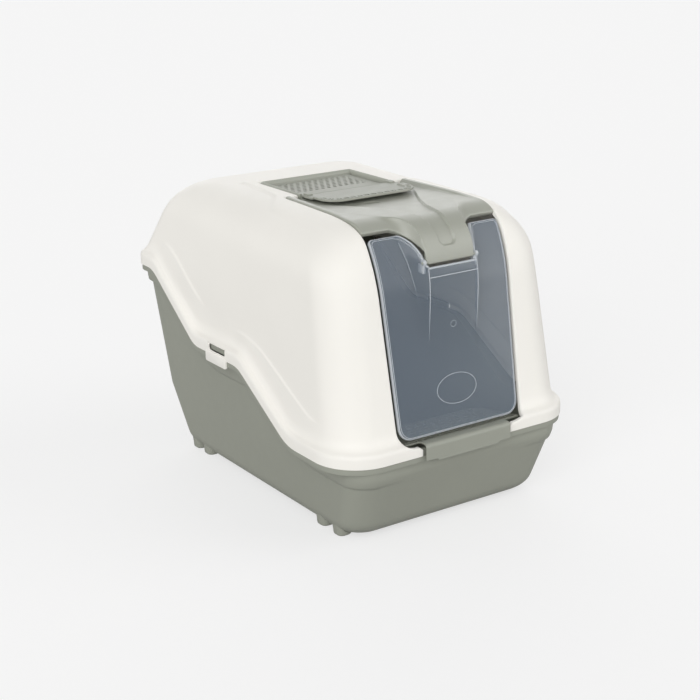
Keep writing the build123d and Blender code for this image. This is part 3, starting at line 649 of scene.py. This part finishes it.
# %% The hatch's surface
CREASE = soft_line([(0, 88), (100, 86), (137, 75), (170, 56), (190, 43), (205, 38.5), (220, 37),
                    (300, 36.5)], 4)
half_column = np.concatenate([np.linspace(0, 36, 24, endpoint=False), np.linspace(36, 108, 58)])
columns = np.concatenate([-half_column[:0:-1], half_column])
x = np.broadcast_to(columns, (HATCH_ROWS, len(columns)))
crease = CREASE(nose_at)[:, None]
fall = np.clip((np.abs(x) - crease) / (11 + 9 * smooth_step(nose_at, 130, 200)[:, None]), 0, 1)
on_nose = (1 - fall) ** 2.6
y = wing_y[:, None] + (nose_y - wing_y)[:, None] * on_nose
z = wing_z[:, None] + (nose_z - wing_z)[:, None] * on_nose
hatch_grid = np.stack([x, y, z], -1)[::-1]
hatch_faces = sheet_faces(HATCH_ROWS, len(columns), False)
normals = point_normals(hatch_grid.reshape(-1, 3), hatch_faces).reshape(hatch_grid.shape)

# %% Recessed floor, the long recess down the nose and the raised border
WELL_LINE = soft_line([(0, 60), (48, 77), (80, 58), (114, 38), (144, 25), (175, 17.5), (200, 13.5),
                       (240, 11.5)], 4)
WELL_END = 238.0
FLOOR_FRONT, FLOOR_DEPTH, WELL_DEPTH, BORDER = -125.0, 4.6, 3.0, 8.5
COVER_HALF, COVER_FLARE = 98.0, 0.04
gx, gy = np.abs(hatch_grid[..., 0]), hatch_grid[..., 1]
along = nose_at[::-1][:, None]
side_edge = COVER_HALF - gy * COVER_FLARE
inner_wall = side_edge - BORDER - 2.5 * np.clip(-gy / 125, 0, 1)
sunk = FLOOR_DEPTH * np.clip((gy - FLOOR_FRONT) / -FLOOR_FRONT, 0, 1)
sunk = sunk * (1 - smooth_step(gx - inner_wall, -3, 1))
well = rounded(gx - WELL_LINE(along), along - WELL_END, 8)
sunk = sunk + WELL_DEPTH * (1 - smooth_step(well, -1.2, 0.9)) * smooth_step(along, 38, 70)
dimple = np.hypot((hatch_grid[..., 0] + 10) / 1.5, gy + 74)
sunk = sunk + 1.6 * (1 - smooth_step(dimple, 4, 9))
border = smooth_step(gx - side_edge + BORDER, -0.5, 2.2) * (gy > -215)
BORDER_RISE = 2.4
raised = BORDER_RISE * border * (1 - smooth_step(-gy, 100, 165))
hatch_grid = hatch_grid + normals * (raised - sunk)[..., None]
print("deepest point of the hatch floor:", sunk.max().round(2))

# %% Its lower edge: level under the wings, swept down to the nose
WING_LOW = 386.5
EDGE_LINE = np.array([(-10, 347), (34.5, 347), (36.3, 348.5), (36.9, 353), (38.2, 360), (40.8, 367),
                      (44.8, 374), (50, 379.6), (56.5, 384), (64, 386.3), (74, WING_LOW), (130, WING_LOW)])


def above_edge(x, z):
    """Signed distance above the swept line between hatch and flap."""
    spot = np.stack([x, z], -1)
    best = np.full(x.shape, 1e9)
    for a, b in zip(EDGE_LINE, EDGE_LINE[1:]):
        t = np.clip(((spot - a) @ (b - a)) / ((b - a) @ (b - a)), 0, 1)
        best = np.minimum(best, np.linalg.norm(spot - a - t[..., None] * (b - a), axis=-1))
    over = z > np.interp(x, EDGE_LINE[:, 0], EDGE_LINE[:, 1])
    return np.where(over, best, -best)


def hatch_keep(p):
    """Distance inside the hatch's own outline."""
    x, y, z = np.abs(p[:, 0]), p[:, 1], p[:, 2]
    side = COVER_HALF - np.clip(y, -150, 0) * COVER_FLARE - x
    edge = np.where(y < -120, above_edge(x, z), 99)
    return -rounded(-np.minimum(side, 50), -np.minimum(np.minimum(edge, -y), 50), 3)


points, faces = cut_sheet(hatch_grid, hatch_faces, hatch_keep, quarter_roll(2.2, 3.5))
hatch_parts = [(skin(points, faces, 2.0, name="hatch_skin"), 0)]

# %% The filter frame behind the cover: a rounded wall, a barrel on the hinge line and a slotted floor
FRAME_HALF, FRAME_BACK, WALL_TOP, WALL_FOOT = 75.5, 103.0, 401.4, 383.0
FRAME_CORNER = 5.0
path = [(FRAME_HALF, 0.0)]
path += arc(FRAME_HALF - FRAME_CORNER, FRAME_BACK - FRAME_CORNER, FRAME_CORNER, np.linspace(0, 90, 9))
path = np.array(path + [(-px, py) for px, py in path[::-1]])
ahead = np.gradient(path, axis=0)
ahead /= np.linalg.norm(ahead, axis=1, keepdims=True)
inward = np.stack([-ahead[:, 1], ahead[:, 0]], 1)
WALL_SECTION = [(0, WALL_FOOT), (0, 398.0), (0.4, 399.6), (1.4, 400.9), (2.9, WALL_TOP), (4.0, 401.0),
                (4.8, 400.1), (5.2, 398.6), (6.0, WALL_FOOT + 1)]
wall_rows = [np.column_stack([path + inward * s, np.full(len(path), h)]) for s, h in WALL_SECTION]
hatch_parts.append((skin(*capped(np.stack(wall_rows, 1))), 0))
HINGE_Y, HINGE_Z, BARREL, PIN = 100.2, 396.2, 4.2, 2.0
hatch_parts.append((skin(*rod(-FRAME_HALF + 4, FRAME_HALF - 4, HINGE_Y, HINGE_Z, BARREL)), 0))
hatch_parts.append((skin(*both_sides(*rod(FRAME_HALF - 3, 80, HINGE_Y, HINGE_Z, PIN))), 0))


def floor_keep(p):
    """Distance outside the nine long slots of the frame's floor."""
    slot_x = np.abs((p[:, 0] + 7.25 + 145) % 14.5 - 7.25)
    slot_x = np.where(np.abs(p[:, 0]) < 65.5, slot_x, 99)
    return rounded(slot_x - 4, np.abs(p[:, 1] - 47.75) - 40, 4)


fx, fy = np.meshgrid(np.linspace(-71, 71, 143), np.linspace(-2, 97, 60))
floor_grid = np.stack([fx, fy, np.full_like(fx, WALL_FOOT + 3)], -1)
points, faces = cut_sheet(floor_grid, sheet_faces(*fx.shape, False), floor_keep, [])
hatch_parts.append((skin(points, faces, 2.8, name="frame_floor"), 0))
FRONT_STACK = [(WALL_FOOT, 0.4), (WALL_FOOT + 0.6, 0), (394.2, 0), (394.8, 0.5)]
hatch_parts.append((skin(*pad((0, -1.5, 0), (142, 3.2), 0.8, FRONT_STACK)), 0))

# %% Pins that carry the flap
PIVOT_Y, PIVOT_Z = -227.0, 349.5
hatch_parts.append((skin(*both_sides(*rod(NOSE_HALF - 2, NOSE_HALF + 6.6, PIVOT_Y, PIVOT_Z, 1.9))), 0))

# %% [markdown]
# ## The flap
# A single clear, smoke-blue panel that follows the hood's front. Its middle bulges forward to meet the
# nose and fades into the panel lower down. Beads run round its edge, along the middle and across it, and
# these catch the light; they, the rolled edge and the eyes get a pale finish that is a painted highlight.
# The panel is a sheet again; the beads are thin tubes swept on the same surface.

# %% The flap's surface
BULGE = soft_line([(120, 0), (212, 0), (245, 2.6), (267, 6.6), (302, 14.0), (331, 19.0), (347, 20.9),
                   (385, 23)], 5)
CHEEK = soft_line([(120, 40), (263, 40.5), (300, 45), (345, 52), (370, 58), (400, 61)], 4)
STRIP_HALF, FLAP_LOW, FLAP_HIGH, FLAP_CORNER, SIDE_GAP = 37.6, 133.0, 381.0, 18.0, 4.4


def flap_y(x, z, out=0.0):
    """Y of the flap's face at x and z, moved outwards by out."""
    reach = CHEEK(z)
    on_strip = np.clip((reach - np.abs(x)) / (reach - STRIP_HALF), 0, 1)
    return front_line(z) + 0.8 - BULGE(z) * on_strip - out


def flap_half(z):
    """Half the flap's width at height z."""
    return 98.5 + (z - 127) * 0.0245 - SIDE_GAP


def flap_keep(p):
    """Distance inside the flap's outline, with the notch under the hatch."""
    x, z = np.abs(p[:, 0]), p[:, 2]
    low = -rounded(x - flap_half(z), FLAP_LOW - z, FLAP_CORNER)
    high = -rounded(x - flap_half(z), z - FLAP_HIGH, 5)
    return np.minimum(np.minimum(low, high), -above_edge(x, z) - 2.6)


at_strip = [36.4, 37.0, 37.6, 38.2, 38.9, 39.8]
half_column = [np.linspace(0, 36.4, 22, endpoint=False), at_strip, np.linspace(41, 101.5, 42)]
half_column = np.concatenate(half_column)
columns = np.concatenate([-half_column[:0:-1], half_column])
levels = np.concatenate([np.linspace(130, 343, 130), np.linspace(344, 383, 36)])
x, z = np.meshgrid(columns, levels)
flap_grid = np.stack([x, flap_y(x, z), z], -1)
points, faces = cut_sheet(flap_grid, sheet_faces(*x.shape, False), flap_keep, quarter_roll(1.6, 2.2))
flap_skin = skin(points, faces, 1.5, name="flap_skin")


def edge_or_panel(face):
    """Finish 1, a pale painted highlight, on the rolled edge where the clear plastic gathers light, and 0 on
    the panel.
    """
    centre = np.array([face.calc_center_median()[:]]) / MM
    return int(flap_keep(centre)[0] < 1.5)


# %% Beads on the flap
def on_flap(path, out=0.2):
    """Lays a path of (x, z) on the flap's face."""
    path = np.array(path, float)
    return np.column_stack([path[:, 0], flap_y(path[:, 0], path[:, 1], out), path[:, 1]])


def flap_border(inset):
    """Half of the flap's outline, drawn in by inset, from the bottom centre to the notch."""
    radius = FLAP_CORNER - inset
    low, high = FLAP_LOW + inset, FLAP_HIGH - inset
    line = [(t, low) for t in np.linspace(0, flap_half(low) - inset - radius, 16)]
    centre = flap_half(low) - inset - radius
    line += arc(centre, low + radius, radius, np.arange(8, 90, 8) - 90)
    line += [(flap_half(h) - inset, h) for h in np.linspace(low + radius, high - 5, 60)]
    line += arc(flap_half(high) - inset - 5, high - 5, 5, np.arange(15, 91, 15))
    return line + [(t, high) for t in np.linspace(flap_half(high) - inset - 8, 64, 16)]


border = flap_border(2.9)
notch = [(63, 377.2), (58, 376.0), (53.5, 373.6), (49.6, 369.8), (46.2, 364.8), (43.8, 359), (42.6, 354)]
rim_line = border + notch
whole = [(-px, pz) for px, pz in rim_line[:0:-1]] + rim_line
beads = [tube(on_flap(whole), 0.42)]
for side in (-1, 1):
    level = np.linspace(252, 343, 44)
    strip = [(side * STRIP_HALF, h) for h in level]
    beads.append(tube(on_flap(strip, 0.25), 0.1 + 0.5 * smooth_step(level, 252, 310)))
    level = np.linspace(282, 372, 40)
    lobe = [(side * (CHEEK(h) + 0.3), h) for h in level]
    beads.append(tube(on_flap(lobe, 0.0), 0.05 + 0.3 * smooth_step(level, 282, 350)))
beads.append(tube(on_flap([(t, 331.5) for t in np.linspace(-37, 37, 30)], 0.3), 0.65))
beads.append(tube(on_flap([(t, 342.6) for t in np.linspace(-37, 37, 30)], 0.3), 0.8))
turn = np.linspace(0, 2 * np.pi, 64, endpoint=False)
PLATE_X, PLATE_Z = 0.0, 184.0
plate = [(PLATE_X + 31 * np.cos(a), PLATE_Z + 19 * np.sin(a)) for a in turn]
beads.append(tube(on_flap(plate, 0.0), 0.4, closed=True))
gate = [(4.2 * np.cos(a), 267 + 4.2 * np.sin(a)) for a in turn[::2]]
beads.append(tube(on_flap(gate, -0.1), 0.25, closed=True))
flap_parts = [(flap_skin, edge_or_panel)] + [(skin(*bead, merge=0.01), 1) for bead in beads]

# %% Eyes that hang on the hatch's pins
EYE_IN, EYE_OUT = 38.4, 42.6
eye = both_sides(*rod(EYE_IN, EYE_OUT, PIVOT_Y, PIVOT_Z, 4.0, 0.5))
web = both_sides(*pad(((EYE_IN + EYE_OUT) / 2, -223.5, 0), (EYE_OUT - EYE_IN, 10.5), 0.8,
                      [(336, 0.5), (336.6, 0), (347.5, 0), (348, 0.5)]))
flap_parts += [(skin(*eye), 1), (skin(*web), 1)]

# %% [markdown]
# ## The filter lid and its felt pad
# The lid is a thin plate with rows of small vents, hinged at the back and lifted by a raised lip in
# front, whose paired grooves give the finger a grip. Vents are cut by the same distance trick, all at
# once: the remainder of x and y after division by the pitch puts a copy of one hole in every cell.

# %% Lid plate, vents and lip
LID_HALF, LID_HINGE_Y, LID_HINGE_Z = 69.0, 93.2, 394.8
VENT_FIRST, VENT_ROW, VENT_PITCH = 86.0, 8.4, 9.6
LIP_TOP, LIP_FRONT, LIP_HALF, LIP_CORNER = 403.0, -69.5, 74.0, 27.0
LID_LINE = soft_line([(-100, LIP_TOP), (-57.5, LIP_TOP), (-54.5, 401.4), (-5, 400.6), (9, 395.4),
                      (100, 395.4)], 1)


def lid_keep(p):
    """Distance inside the outline of the lid's plate and lip."""
    x, y = p[:, 0], p[:, 1]
    plate = -rounded(np.abs(x) - LID_HALF, np.abs(y - 44) - 51, 3)
    lip = -rounded(np.abs(x) - LIP_HALF, np.maximum(LIP_FRONT - y, y + 7.2), LIP_CORNER)
    lip = np.where(y > -40, -rounded(np.abs(x) - LIP_HALF, y + 7.2, 2), lip)
    return np.maximum(plate, lip)


def outside_vents(p):
    """Distance outside the staggered vents."""
    x, y = p[:, 0], p[:, 1]
    row = np.round((VENT_FIRST - y) / VENT_ROW)
    down = np.abs(VENT_FIRST - y - row * VENT_ROW)
    shift = np.where(row % 2 == 0, VENT_PITCH / 2, 0)
    across = np.abs((x + shift + 10.5 * VENT_PITCH) % VENT_PITCH - VENT_PITCH / 2)
    vent = rounded(across - 2.7, down - 1.75, 0.8)
    return np.where((row >= 0) & (row <= 6) & (np.abs(x) < 57.5), vent, 99)


lid_rows = np.concatenate([np.linspace(-71, 20, 110), np.linspace(20.9, 96, 84)])
fx, fy = np.meshgrid(np.linspace(-76, 76, 153), lid_rows)
lid_z = LID_LINE(fy)
bend_x, bend_y = LIP_HALF - LIP_CORNER, LIP_FRONT + LIP_CORNER
turned = np.arctan2(np.maximum(np.abs(fx) - bend_x, 0), np.maximum(bend_y - fy, 0.01))
along_lip = np.minimum(np.abs(fx), bend_x) + 0.8 * LIP_CORNER * turned
from_edge = -rounded(np.abs(fx) - LIP_HALF, LIP_FRONT - fy, LIP_CORNER)
lid_z = np.where(fy < -30, np.maximum(lid_z, LIP_TOP - 1.9 * smooth_step(from_edge, 10.5, 13)), lid_z)
pair = np.abs(np.abs((along_lip + 5.4) % 10.8 - 5.4) - 2.1)
GROOVE_DEPTH = 2.8
groove = (1 - smooth_step(pair, 0.8, 1.5)) * smooth_step(from_edge, 2.6, 3.8)
groove = groove * (1 - smooth_step(from_edge, 7.6, 9.0))
lid_grid = np.stack([fx, fy, lid_z - GROOVE_DEPTH * groove * (fy < -44)], -1)
points, faces = cut_sheet(lid_grid, sheet_faces(*fx.shape, False), outside_vents, quarter_roll(0.5, 0))
others = [f for f in faces if len(f) != 4]
quads = np.array([f for f in faces if len(f) == 4])
points, faces = cut_sheet(points, quads, lid_keep, quarter_roll(1.4, 1.2))
lid_parts = [(skin(points, faces + others, 1.3, merge=0.08, name="lid_skin"), 0)]
lid_parts.append((skin(*rod(-LID_HALF, LID_HALF, LID_HINGE_Y, LID_HINGE_Z, 1.9)), 0))
catch = both_sides(*pad((66.5, -8, 0), (9, 12), 2, [(396.5, 0.5), (397, 0), (402.0, 0), (402.7, 0.6)]))
lid_parts.append((skin(*catch), 0))

# %% The carbon felt pad in the frame
fx, fy = np.meshgrid(np.linspace(-66, 66, 67), np.linspace(3.8, 89.8, 44))
rng = np.random.default_rng(7)
lumps = rng.normal(0, 0.16, fx.shape)
edge_fall = np.minimum(np.minimum(66 - np.abs(fx), 43 - np.abs(fy - 46.8)), 3) / 3
pad_top = 386.4 + 5.6 * np.sqrt(np.clip(1 - (1 - edge_fall) ** 2, 0, 1)) + lumps
top = np.stack([fx, fy, pad_top], -1).reshape(-1, 3)
felt_points = np.concatenate([top, np.stack([fx, fy, np.full_like(fx, 386.2)], -1).reshape(-1, 3)])
quads = sheet_faces(*fx.shape, False)
border_line = np.concatenate([np.arange(67), np.arange(1, 44) * 67 + 66, 43 * 67 + np.arange(65, -1, -1),
                              np.arange(42, 0, -1) * 67])
sides = [[a + len(top), b + len(top), b, a] for a, b in zip(border_line, np.roll(border_line, -1))]
felt_faces = quads.tolist() + (quads[:, ::-1] + len(top)).tolist() + [[int(i) for i in s] for s in sides]
felt_parts = [(skin(felt_points, felt_faces, merge=0.001), 0)]

# %% [markdown]
# ## The entry step
# A perforated shelf behind the doorway that wipes litter off the paws. Its front rolls over the rim and
# clips on, with a narrower tab below. The section is walked as one line from the tab up, over the roll
# and back down the shelf, and swept sideways; the plan's corners and the staggered slots are cut out of
# the sheet.

# %% The step's section
STEP_FACE, STEP_TOP, STEP_BACK, STEP_HALF, STEP_ROLL, BACK_ROLL = -270.0, 130.5, -158.0, 96.5, 5.5, 7.0
section = [(STEP_FACE, h) for h in np.linspace(105.5, STEP_TOP - 5.5, 16)]
section += arc(STEP_FACE + STEP_ROLL, STEP_TOP - STEP_ROLL, STEP_ROLL, 180 - np.arange(12, 91, 13))
section += [(t, STEP_TOP) for t in (-261.5, -259.5, -258)]
section += [(-255.5, 129.9), (-253, 129.0), (-250.5, 128.3)]
section += [(t, 128.2 - (t + 250) * 14.2 / 85) for t in np.linspace(-249, -165, 72)]
section += arc(-165, 107, BACK_ROLL, 90 - np.arange(10, 91, 16))
section = np.array(section)
run = np.concatenate([[0], np.cumsum(np.linalg.norm(np.diff(section, axis=0), axis=1))])
x, _ = np.meshgrid(np.linspace(-99, 99, 166), run)
section_y, section_z = (np.broadcast_to(section[:, i:i + 1], x.shape) for i in (0, 1))
step_grid = np.stack([x, section_y, section_z], -1)


def step_keep(p):
    """Distance inside the step's plan, its clip and its tab, and outside the drain slots."""
    x, y, z = np.abs(p[:, 0]), p[:, 1], p[:, 2]
    shelf = -rounded(x - STEP_HALF, y - STEP_BACK - 0.5, 26)
    clip = 67.5 - x
    tab = -rounded(x - 49.5, 105.5 - z, 3)
    face = np.where(z < 109.5, np.maximum(tab, z - 108.3), np.minimum(clip, z - 108.3))
    front = np.where((y <= -268.5) & (z < 112), np.minimum(face, clip), clip)
    body = np.where(y > -252, shelf, front)
    row = np.round((p[:, 1] + 173) / -12)
    down = np.abs(p[:, 1] + 173 + row * 12)
    shift = np.where(row % 2 == 0, 6.5, 0)
    across = np.abs((p[:, 0] + shift + 130) % 13 - 6.5)
    slot = rounded(across - 4, down - 1.8, 1.8)
    slot = np.where((row >= -0.4) & (row <= 6) & (x < 84.5 - np.where(row % 2 == 0, 0, 6)), slot, 99)
    return np.minimum(body, slot)


points, faces = cut_sheet(step_grid, sheet_faces(*x.shape, False), step_keep, quarter_roll(0.6, 0))
step_parts = [(skin(points, faces, 2.2, merge=0.08, name="step_skin"), 0)]

# %% [markdown]
# ## Finishes
# Moulded polypropylene is never one flat colour: it has a very fine grain from the etched steel, and slow
# changes of shade and gloss where the melt cooled. One node group makes these values for all the plastics
# and the felt, and each material mixes them in its own measure.


# %% A node group for moulded grain
def new_group(name, inputs, outputs):
    """An empty shader group with float inputs (name, value) and outputs (name, socket type)."""
    group = bpy.data.node_groups.new(name, "ShaderNodeTree")
    for label, value in inputs:
        socket = group.interface.new_socket(label, in_out="INPUT", socket_type="NodeSocketFloat")
        socket.default_value = value
    for label, kind in outputs:
        group.interface.new_socket(label, in_out="OUTPUT", socket_type=kind)
    return group, group.nodes.new("NodeGroupInput"), group.nodes.new("NodeGroupOutput")


def noise(tree, scale, detail, vector, rough=0.5):
    """A noise texture in object space."""
    node = tree.nodes.new("ShaderNodeTexNoise")
    node.inputs["Scale"].default_value = scale
    node.inputs["Detail"].default_value = detail
    node.inputs["Roughness"].default_value = rough
    tree.links.new(vector, node.inputs["Vector"])
    return node.outputs["Fac"]


def math(tree, kind, a, b, c=None):
    """One arithmetic node; a, b and c are sockets or numbers."""
    node = tree.nodes.new("ShaderNodeMath")
    node.operation = kind
    for socket, value in zip(node.inputs, (a, b, c)):
        if isinstance(value, (int, float)):
            socket.default_value = value
        elif value is not None:
            tree.links.new(value, socket)
    return node.outputs[0]


grain, grain_in, grain_out = new_group(
    "moulded_grain",
    [("Grain Scale", 1400.0), ("Grain", 0.5), ("Drift", 0.5), ("Gloss", 0.4)],
    [("Height", "NodeSocketFloat"), ("Shade", "NodeSocketFloat"), ("Roughness", "NodeSocketFloat")])
place = grain.nodes.new("ShaderNodeTexCoord").outputs["Object"]
fine = noise(grain, 1400.0, 2.0, place)
grain.links.new(grain_in.outputs["Grain Scale"], grain.nodes[-1].inputs["Scale"])
drift = noise(grain, 7.0, 3.0, place)
scuff = noise(grain, 60.0, 4.0, place, 0.65)
height = math(grain, "MULTIPLY", fine, grain_in.outputs["Grain"])
shade = math(grain, "MULTIPLY", math(grain, "SUBTRACT", drift, 0.5), grain_in.outputs["Drift"])
rough = math(grain, "MULTIPLY_ADD", math(grain, "SUBTRACT", scuff, 0.5), 0.22, grain_in.outputs["Gloss"])
rough = math(grain, "MULTIPLY_ADD", math(grain, "SUBTRACT", fine, 0.5), 0.12, rough)
for value, label in ((height, "Height"), (shade, "Shade"), (rough, "Roughness")):
    grain.links.new(value, grain_out.inputs[label])


# %% Opaque plastics
def plastic(name, colour, gloss, grain_scale, bump, drift_amount, specular=0.5):
    """A moulded plastic: base colour with slow drift, fine grain and uneven gloss."""
    material = bpy.data.materials.new(name)
    material.use_nodes = True
    tree = material.node_tree
    shader = tree.nodes["Principled BSDF"]
    shader.inputs["Specular IOR Level"].default_value = specular
    group = tree.nodes.new("ShaderNodeGroup")
    group.node_tree = grain
    group.inputs["Grain Scale"].default_value = grain_scale
    group.inputs["Grain"].default_value = 1.0
    group.inputs["Drift"].default_value = drift_amount
    group.inputs["Gloss"].default_value = gloss
    ramp = tree.nodes.new("ShaderNodeMix")
    ramp.data_type = "RGBA"
    ramp.inputs["A"].default_value = (*[c * 0.93 for c in colour], 1)
    ramp.inputs["B"].default_value = (*[min(1, c * 1.05) for c in colour], 1)
    tree.links.new(math(tree, "ADD", group.outputs["Shade"], 0.5), ramp.inputs["Factor"])
    tree.links.new(ramp.outputs["Result"], shader.inputs["Base Color"])
    tree.links.new(group.outputs["Roughness"], shader.inputs["Roughness"])
    relief = tree.nodes.new("ShaderNodeBump")
    relief.inputs["Strength"].default_value = bump
    relief.inputs["Distance"].default_value = 0.0004
    tree.links.new(group.outputs["Height"], relief.inputs["Height"])
    tree.links.new(relief.outputs["Normal"], shader.inputs["Normal"])
    return material


WARM_WHITE = (0.88, 0.86, 0.81)
SAGE = (0.308, 0.318, 0.27)
white_plastic = plastic("warm_white_plastic", WARM_WHITE, 0.45, 900.0, 0.10, 0.5, 0.2)
sage_plastic = plastic("sage_plastic", SAGE, 0.46, 1300.0, 0.28, 0.9)
sage_matt = plastic("sage_matt_plastic", SAGE, 0.50, 1100.0, 0.30, 0.9, 0.7)
# The hatch's sage is SAGE made about 13 percent lighter: painted top light and sheen for its upward faces.
PAINTED_LIGHT_SAGE = (0.35, 0.36, 0.308)
sage_with_painted_top_light = plastic("sage_plastic_painted_top_light", PAINTED_LIGHT_SAGE, 0.42, 1100.0, 0.22, 0.9, 1.0)

# %% Smoke-blue clear plastic, and a pale copy of it painted as highlight on the edges
def smoke(name, colour, see_through, gloss):
    """A clear tinted plastic, seen through in part, with a polished face."""
    material = plastic(name, colour, gloss, 300.0, 0.02, 0.8, 0.6)
    material.node_tree.nodes["Principled BSDF"].inputs["Alpha"].default_value = 1 - see_through
    return material


smoke_panel = smoke("smoke_blue_panel", (0.265, 0.325, 0.40), 0.72, 0.10)
# The edge finish is a pale copy of the smoke blue: a painted highlight on the flap's rolled edge, beads and
# eyes.
smoke_painted_highlight = smoke("smoke_blue_painted_highlight", (0.70, 0.74, 0.78), 0.40, 0.15)

# %% Carbon felt
felt = plastic("carbon_felt", (0.018, 0.018, 0.02), 0.95, 500.0, 1.0, 1.0, 0.2)
felt.node_tree.nodes["Principled BSDF"].inputs["Sheen Weight"].default_value = 0.3

# %% [markdown]
# ## Put the pieces on their bodies
# Each piece rides the body that moves it, stands for its CAD node and names the slot of its finish.

# %% Assemble
assemble("tray_tub", tray_parts, [sage_plastic], "base", ["tray"])
assemble("entry_step_shelf", step_parts, [sage_matt], "base", ["entry_step"])
assemble("hood_shell", hood_parts, [white_plastic], "hood", ["hood"])
assemble("hatch_cover", hatch_parts, [sage_with_painted_top_light], "hatch", ["hatch"])
assemble("flap_panel", flap_parts, [smoke_panel, smoke_painted_highlight], "flap", ["flap"])
assemble("filter_lid_plate", lid_parts, [sage_matt], "filter_lid", ["filter_lid"])
assemble("filter_felt", felt_parts, [felt], "hatch", ["filter_pad"])

# %% [markdown]
# ## Studio
# A pale floor, soft light from all round and three broad suns, the main one from the front left. The
# floor glows a little of its own, so that shadows on it stay faint, as on a lit table in a product
# studio.

# %% Floor
FLOOR_SIZE = 60.0
floor_mesh = bpy.data.meshes.new("studio_floor")
reach = FLOOR_SIZE / 2
corners = [(-reach, -reach, 0), (reach, -reach, 0), (reach, reach, 0), (-reach, reach, 0)]
floor_mesh.from_pydata(corners, [], [(0, 1, 2, 3)])
floor = bpy.data.objects.new("studio_floor", floor_mesh)
bpy.context.scene.collection.objects.link(floor)
pale = bpy.data.materials.new("studio_paper")
pale.use_nodes = True
paper = pale.node_tree.nodes["Principled BSDF"]
paper.inputs["Base Color"].default_value = (0.35, 0.35, 0.35, 1)
paper.inputs["Roughness"].default_value = 1.0
paper.inputs["Specular IOR Level"].default_value = 0.0
paper.inputs["Emission Color"].default_value = (1, 1, 1, 1)
SEEN_GLOW, FELT_GLOW = 0.62, 0.13
path = pale.node_tree.nodes.new("ShaderNodeLightPath")
glow = math(pale.node_tree, "MULTIPLY_ADD", path.outputs["Is Camera Ray"], SEEN_GLOW - FELT_GLOW, FELT_GLOW)
pale.node_tree.links.new(glow, paper.inputs["Emission Strength"])
floor_mesh.materials.append(pale)

# %% Light
world = bpy.data.worlds.new("studio_air")
bpy.context.scene.world = world
world.use_nodes = True
air = world.node_tree
direction = air.nodes.new("ShaderNodeSeparateXYZ")
air.links.new(air.nodes.new("ShaderNodeTexCoord").outputs["Generated"], direction.inputs[0])
ZENITH, HORIZON = 0.28, 1.02
height = math(air, "MAXIMUM", direction.outputs["Z"], 0.0)
level = math(air, "MULTIPLY_ADD", math(air, "POWER", height, 0.7), ZENITH - HORIZON, HORIZON)
air.links.new(level, air.nodes["Background"].inputs["Strength"])
air.nodes["Background"].inputs["Color"].default_value = (1.0, 1.0, 1.0, 1)


def sun(name, toward, strength, softness):
    """A sun that shines from a direction, with soft shadows."""
    lamp = bpy.data.lights.new(name, "SUN")
    lamp.energy = strength
    lamp.angle = np.radians(softness)
    holder = bpy.data.objects.new(name, lamp)
    holder.rotation_euler = Vector(toward).to_track_quat("Z", "Y").to_euler()
    bpy.context.scene.collection.objects.link(holder)


sun("key_light", (-0.76, -0.60, 0.40), 1.66, 50)
sun("side_light", (0.85, -0.6, 0.4), 0.8, 50)
sun("back_light", (0.50, 0.85, 0.30), 0.85, 55)

# %% Camera
EYE = (-1.0999, -1.6360, 0.8152)
RIGHT, UP, AHEAD = (0.8268, -0.5623, -0.0139), (0.1859, 0.2498, 0.9503), (0.53088, 0.7883, -0.31105)
camera_data = bpy.data.cameras.new("camera")
camera_data.lens = 76.41
camera_data.sensor_width = 36.0
camera = bpy.data.objects.new("camera", camera_data)
axes = Matrix([RIGHT, UP, [-v for v in AHEAD]]).transposed().to_4x4()
camera.matrix_world = Matrix.Translation(EYE) @ axes
bpy.context.scene.collection.objects.link(camera)
bpy.context.scene.camera = camera
bpy.context.scene.view_settings.view_transform = "Standard"
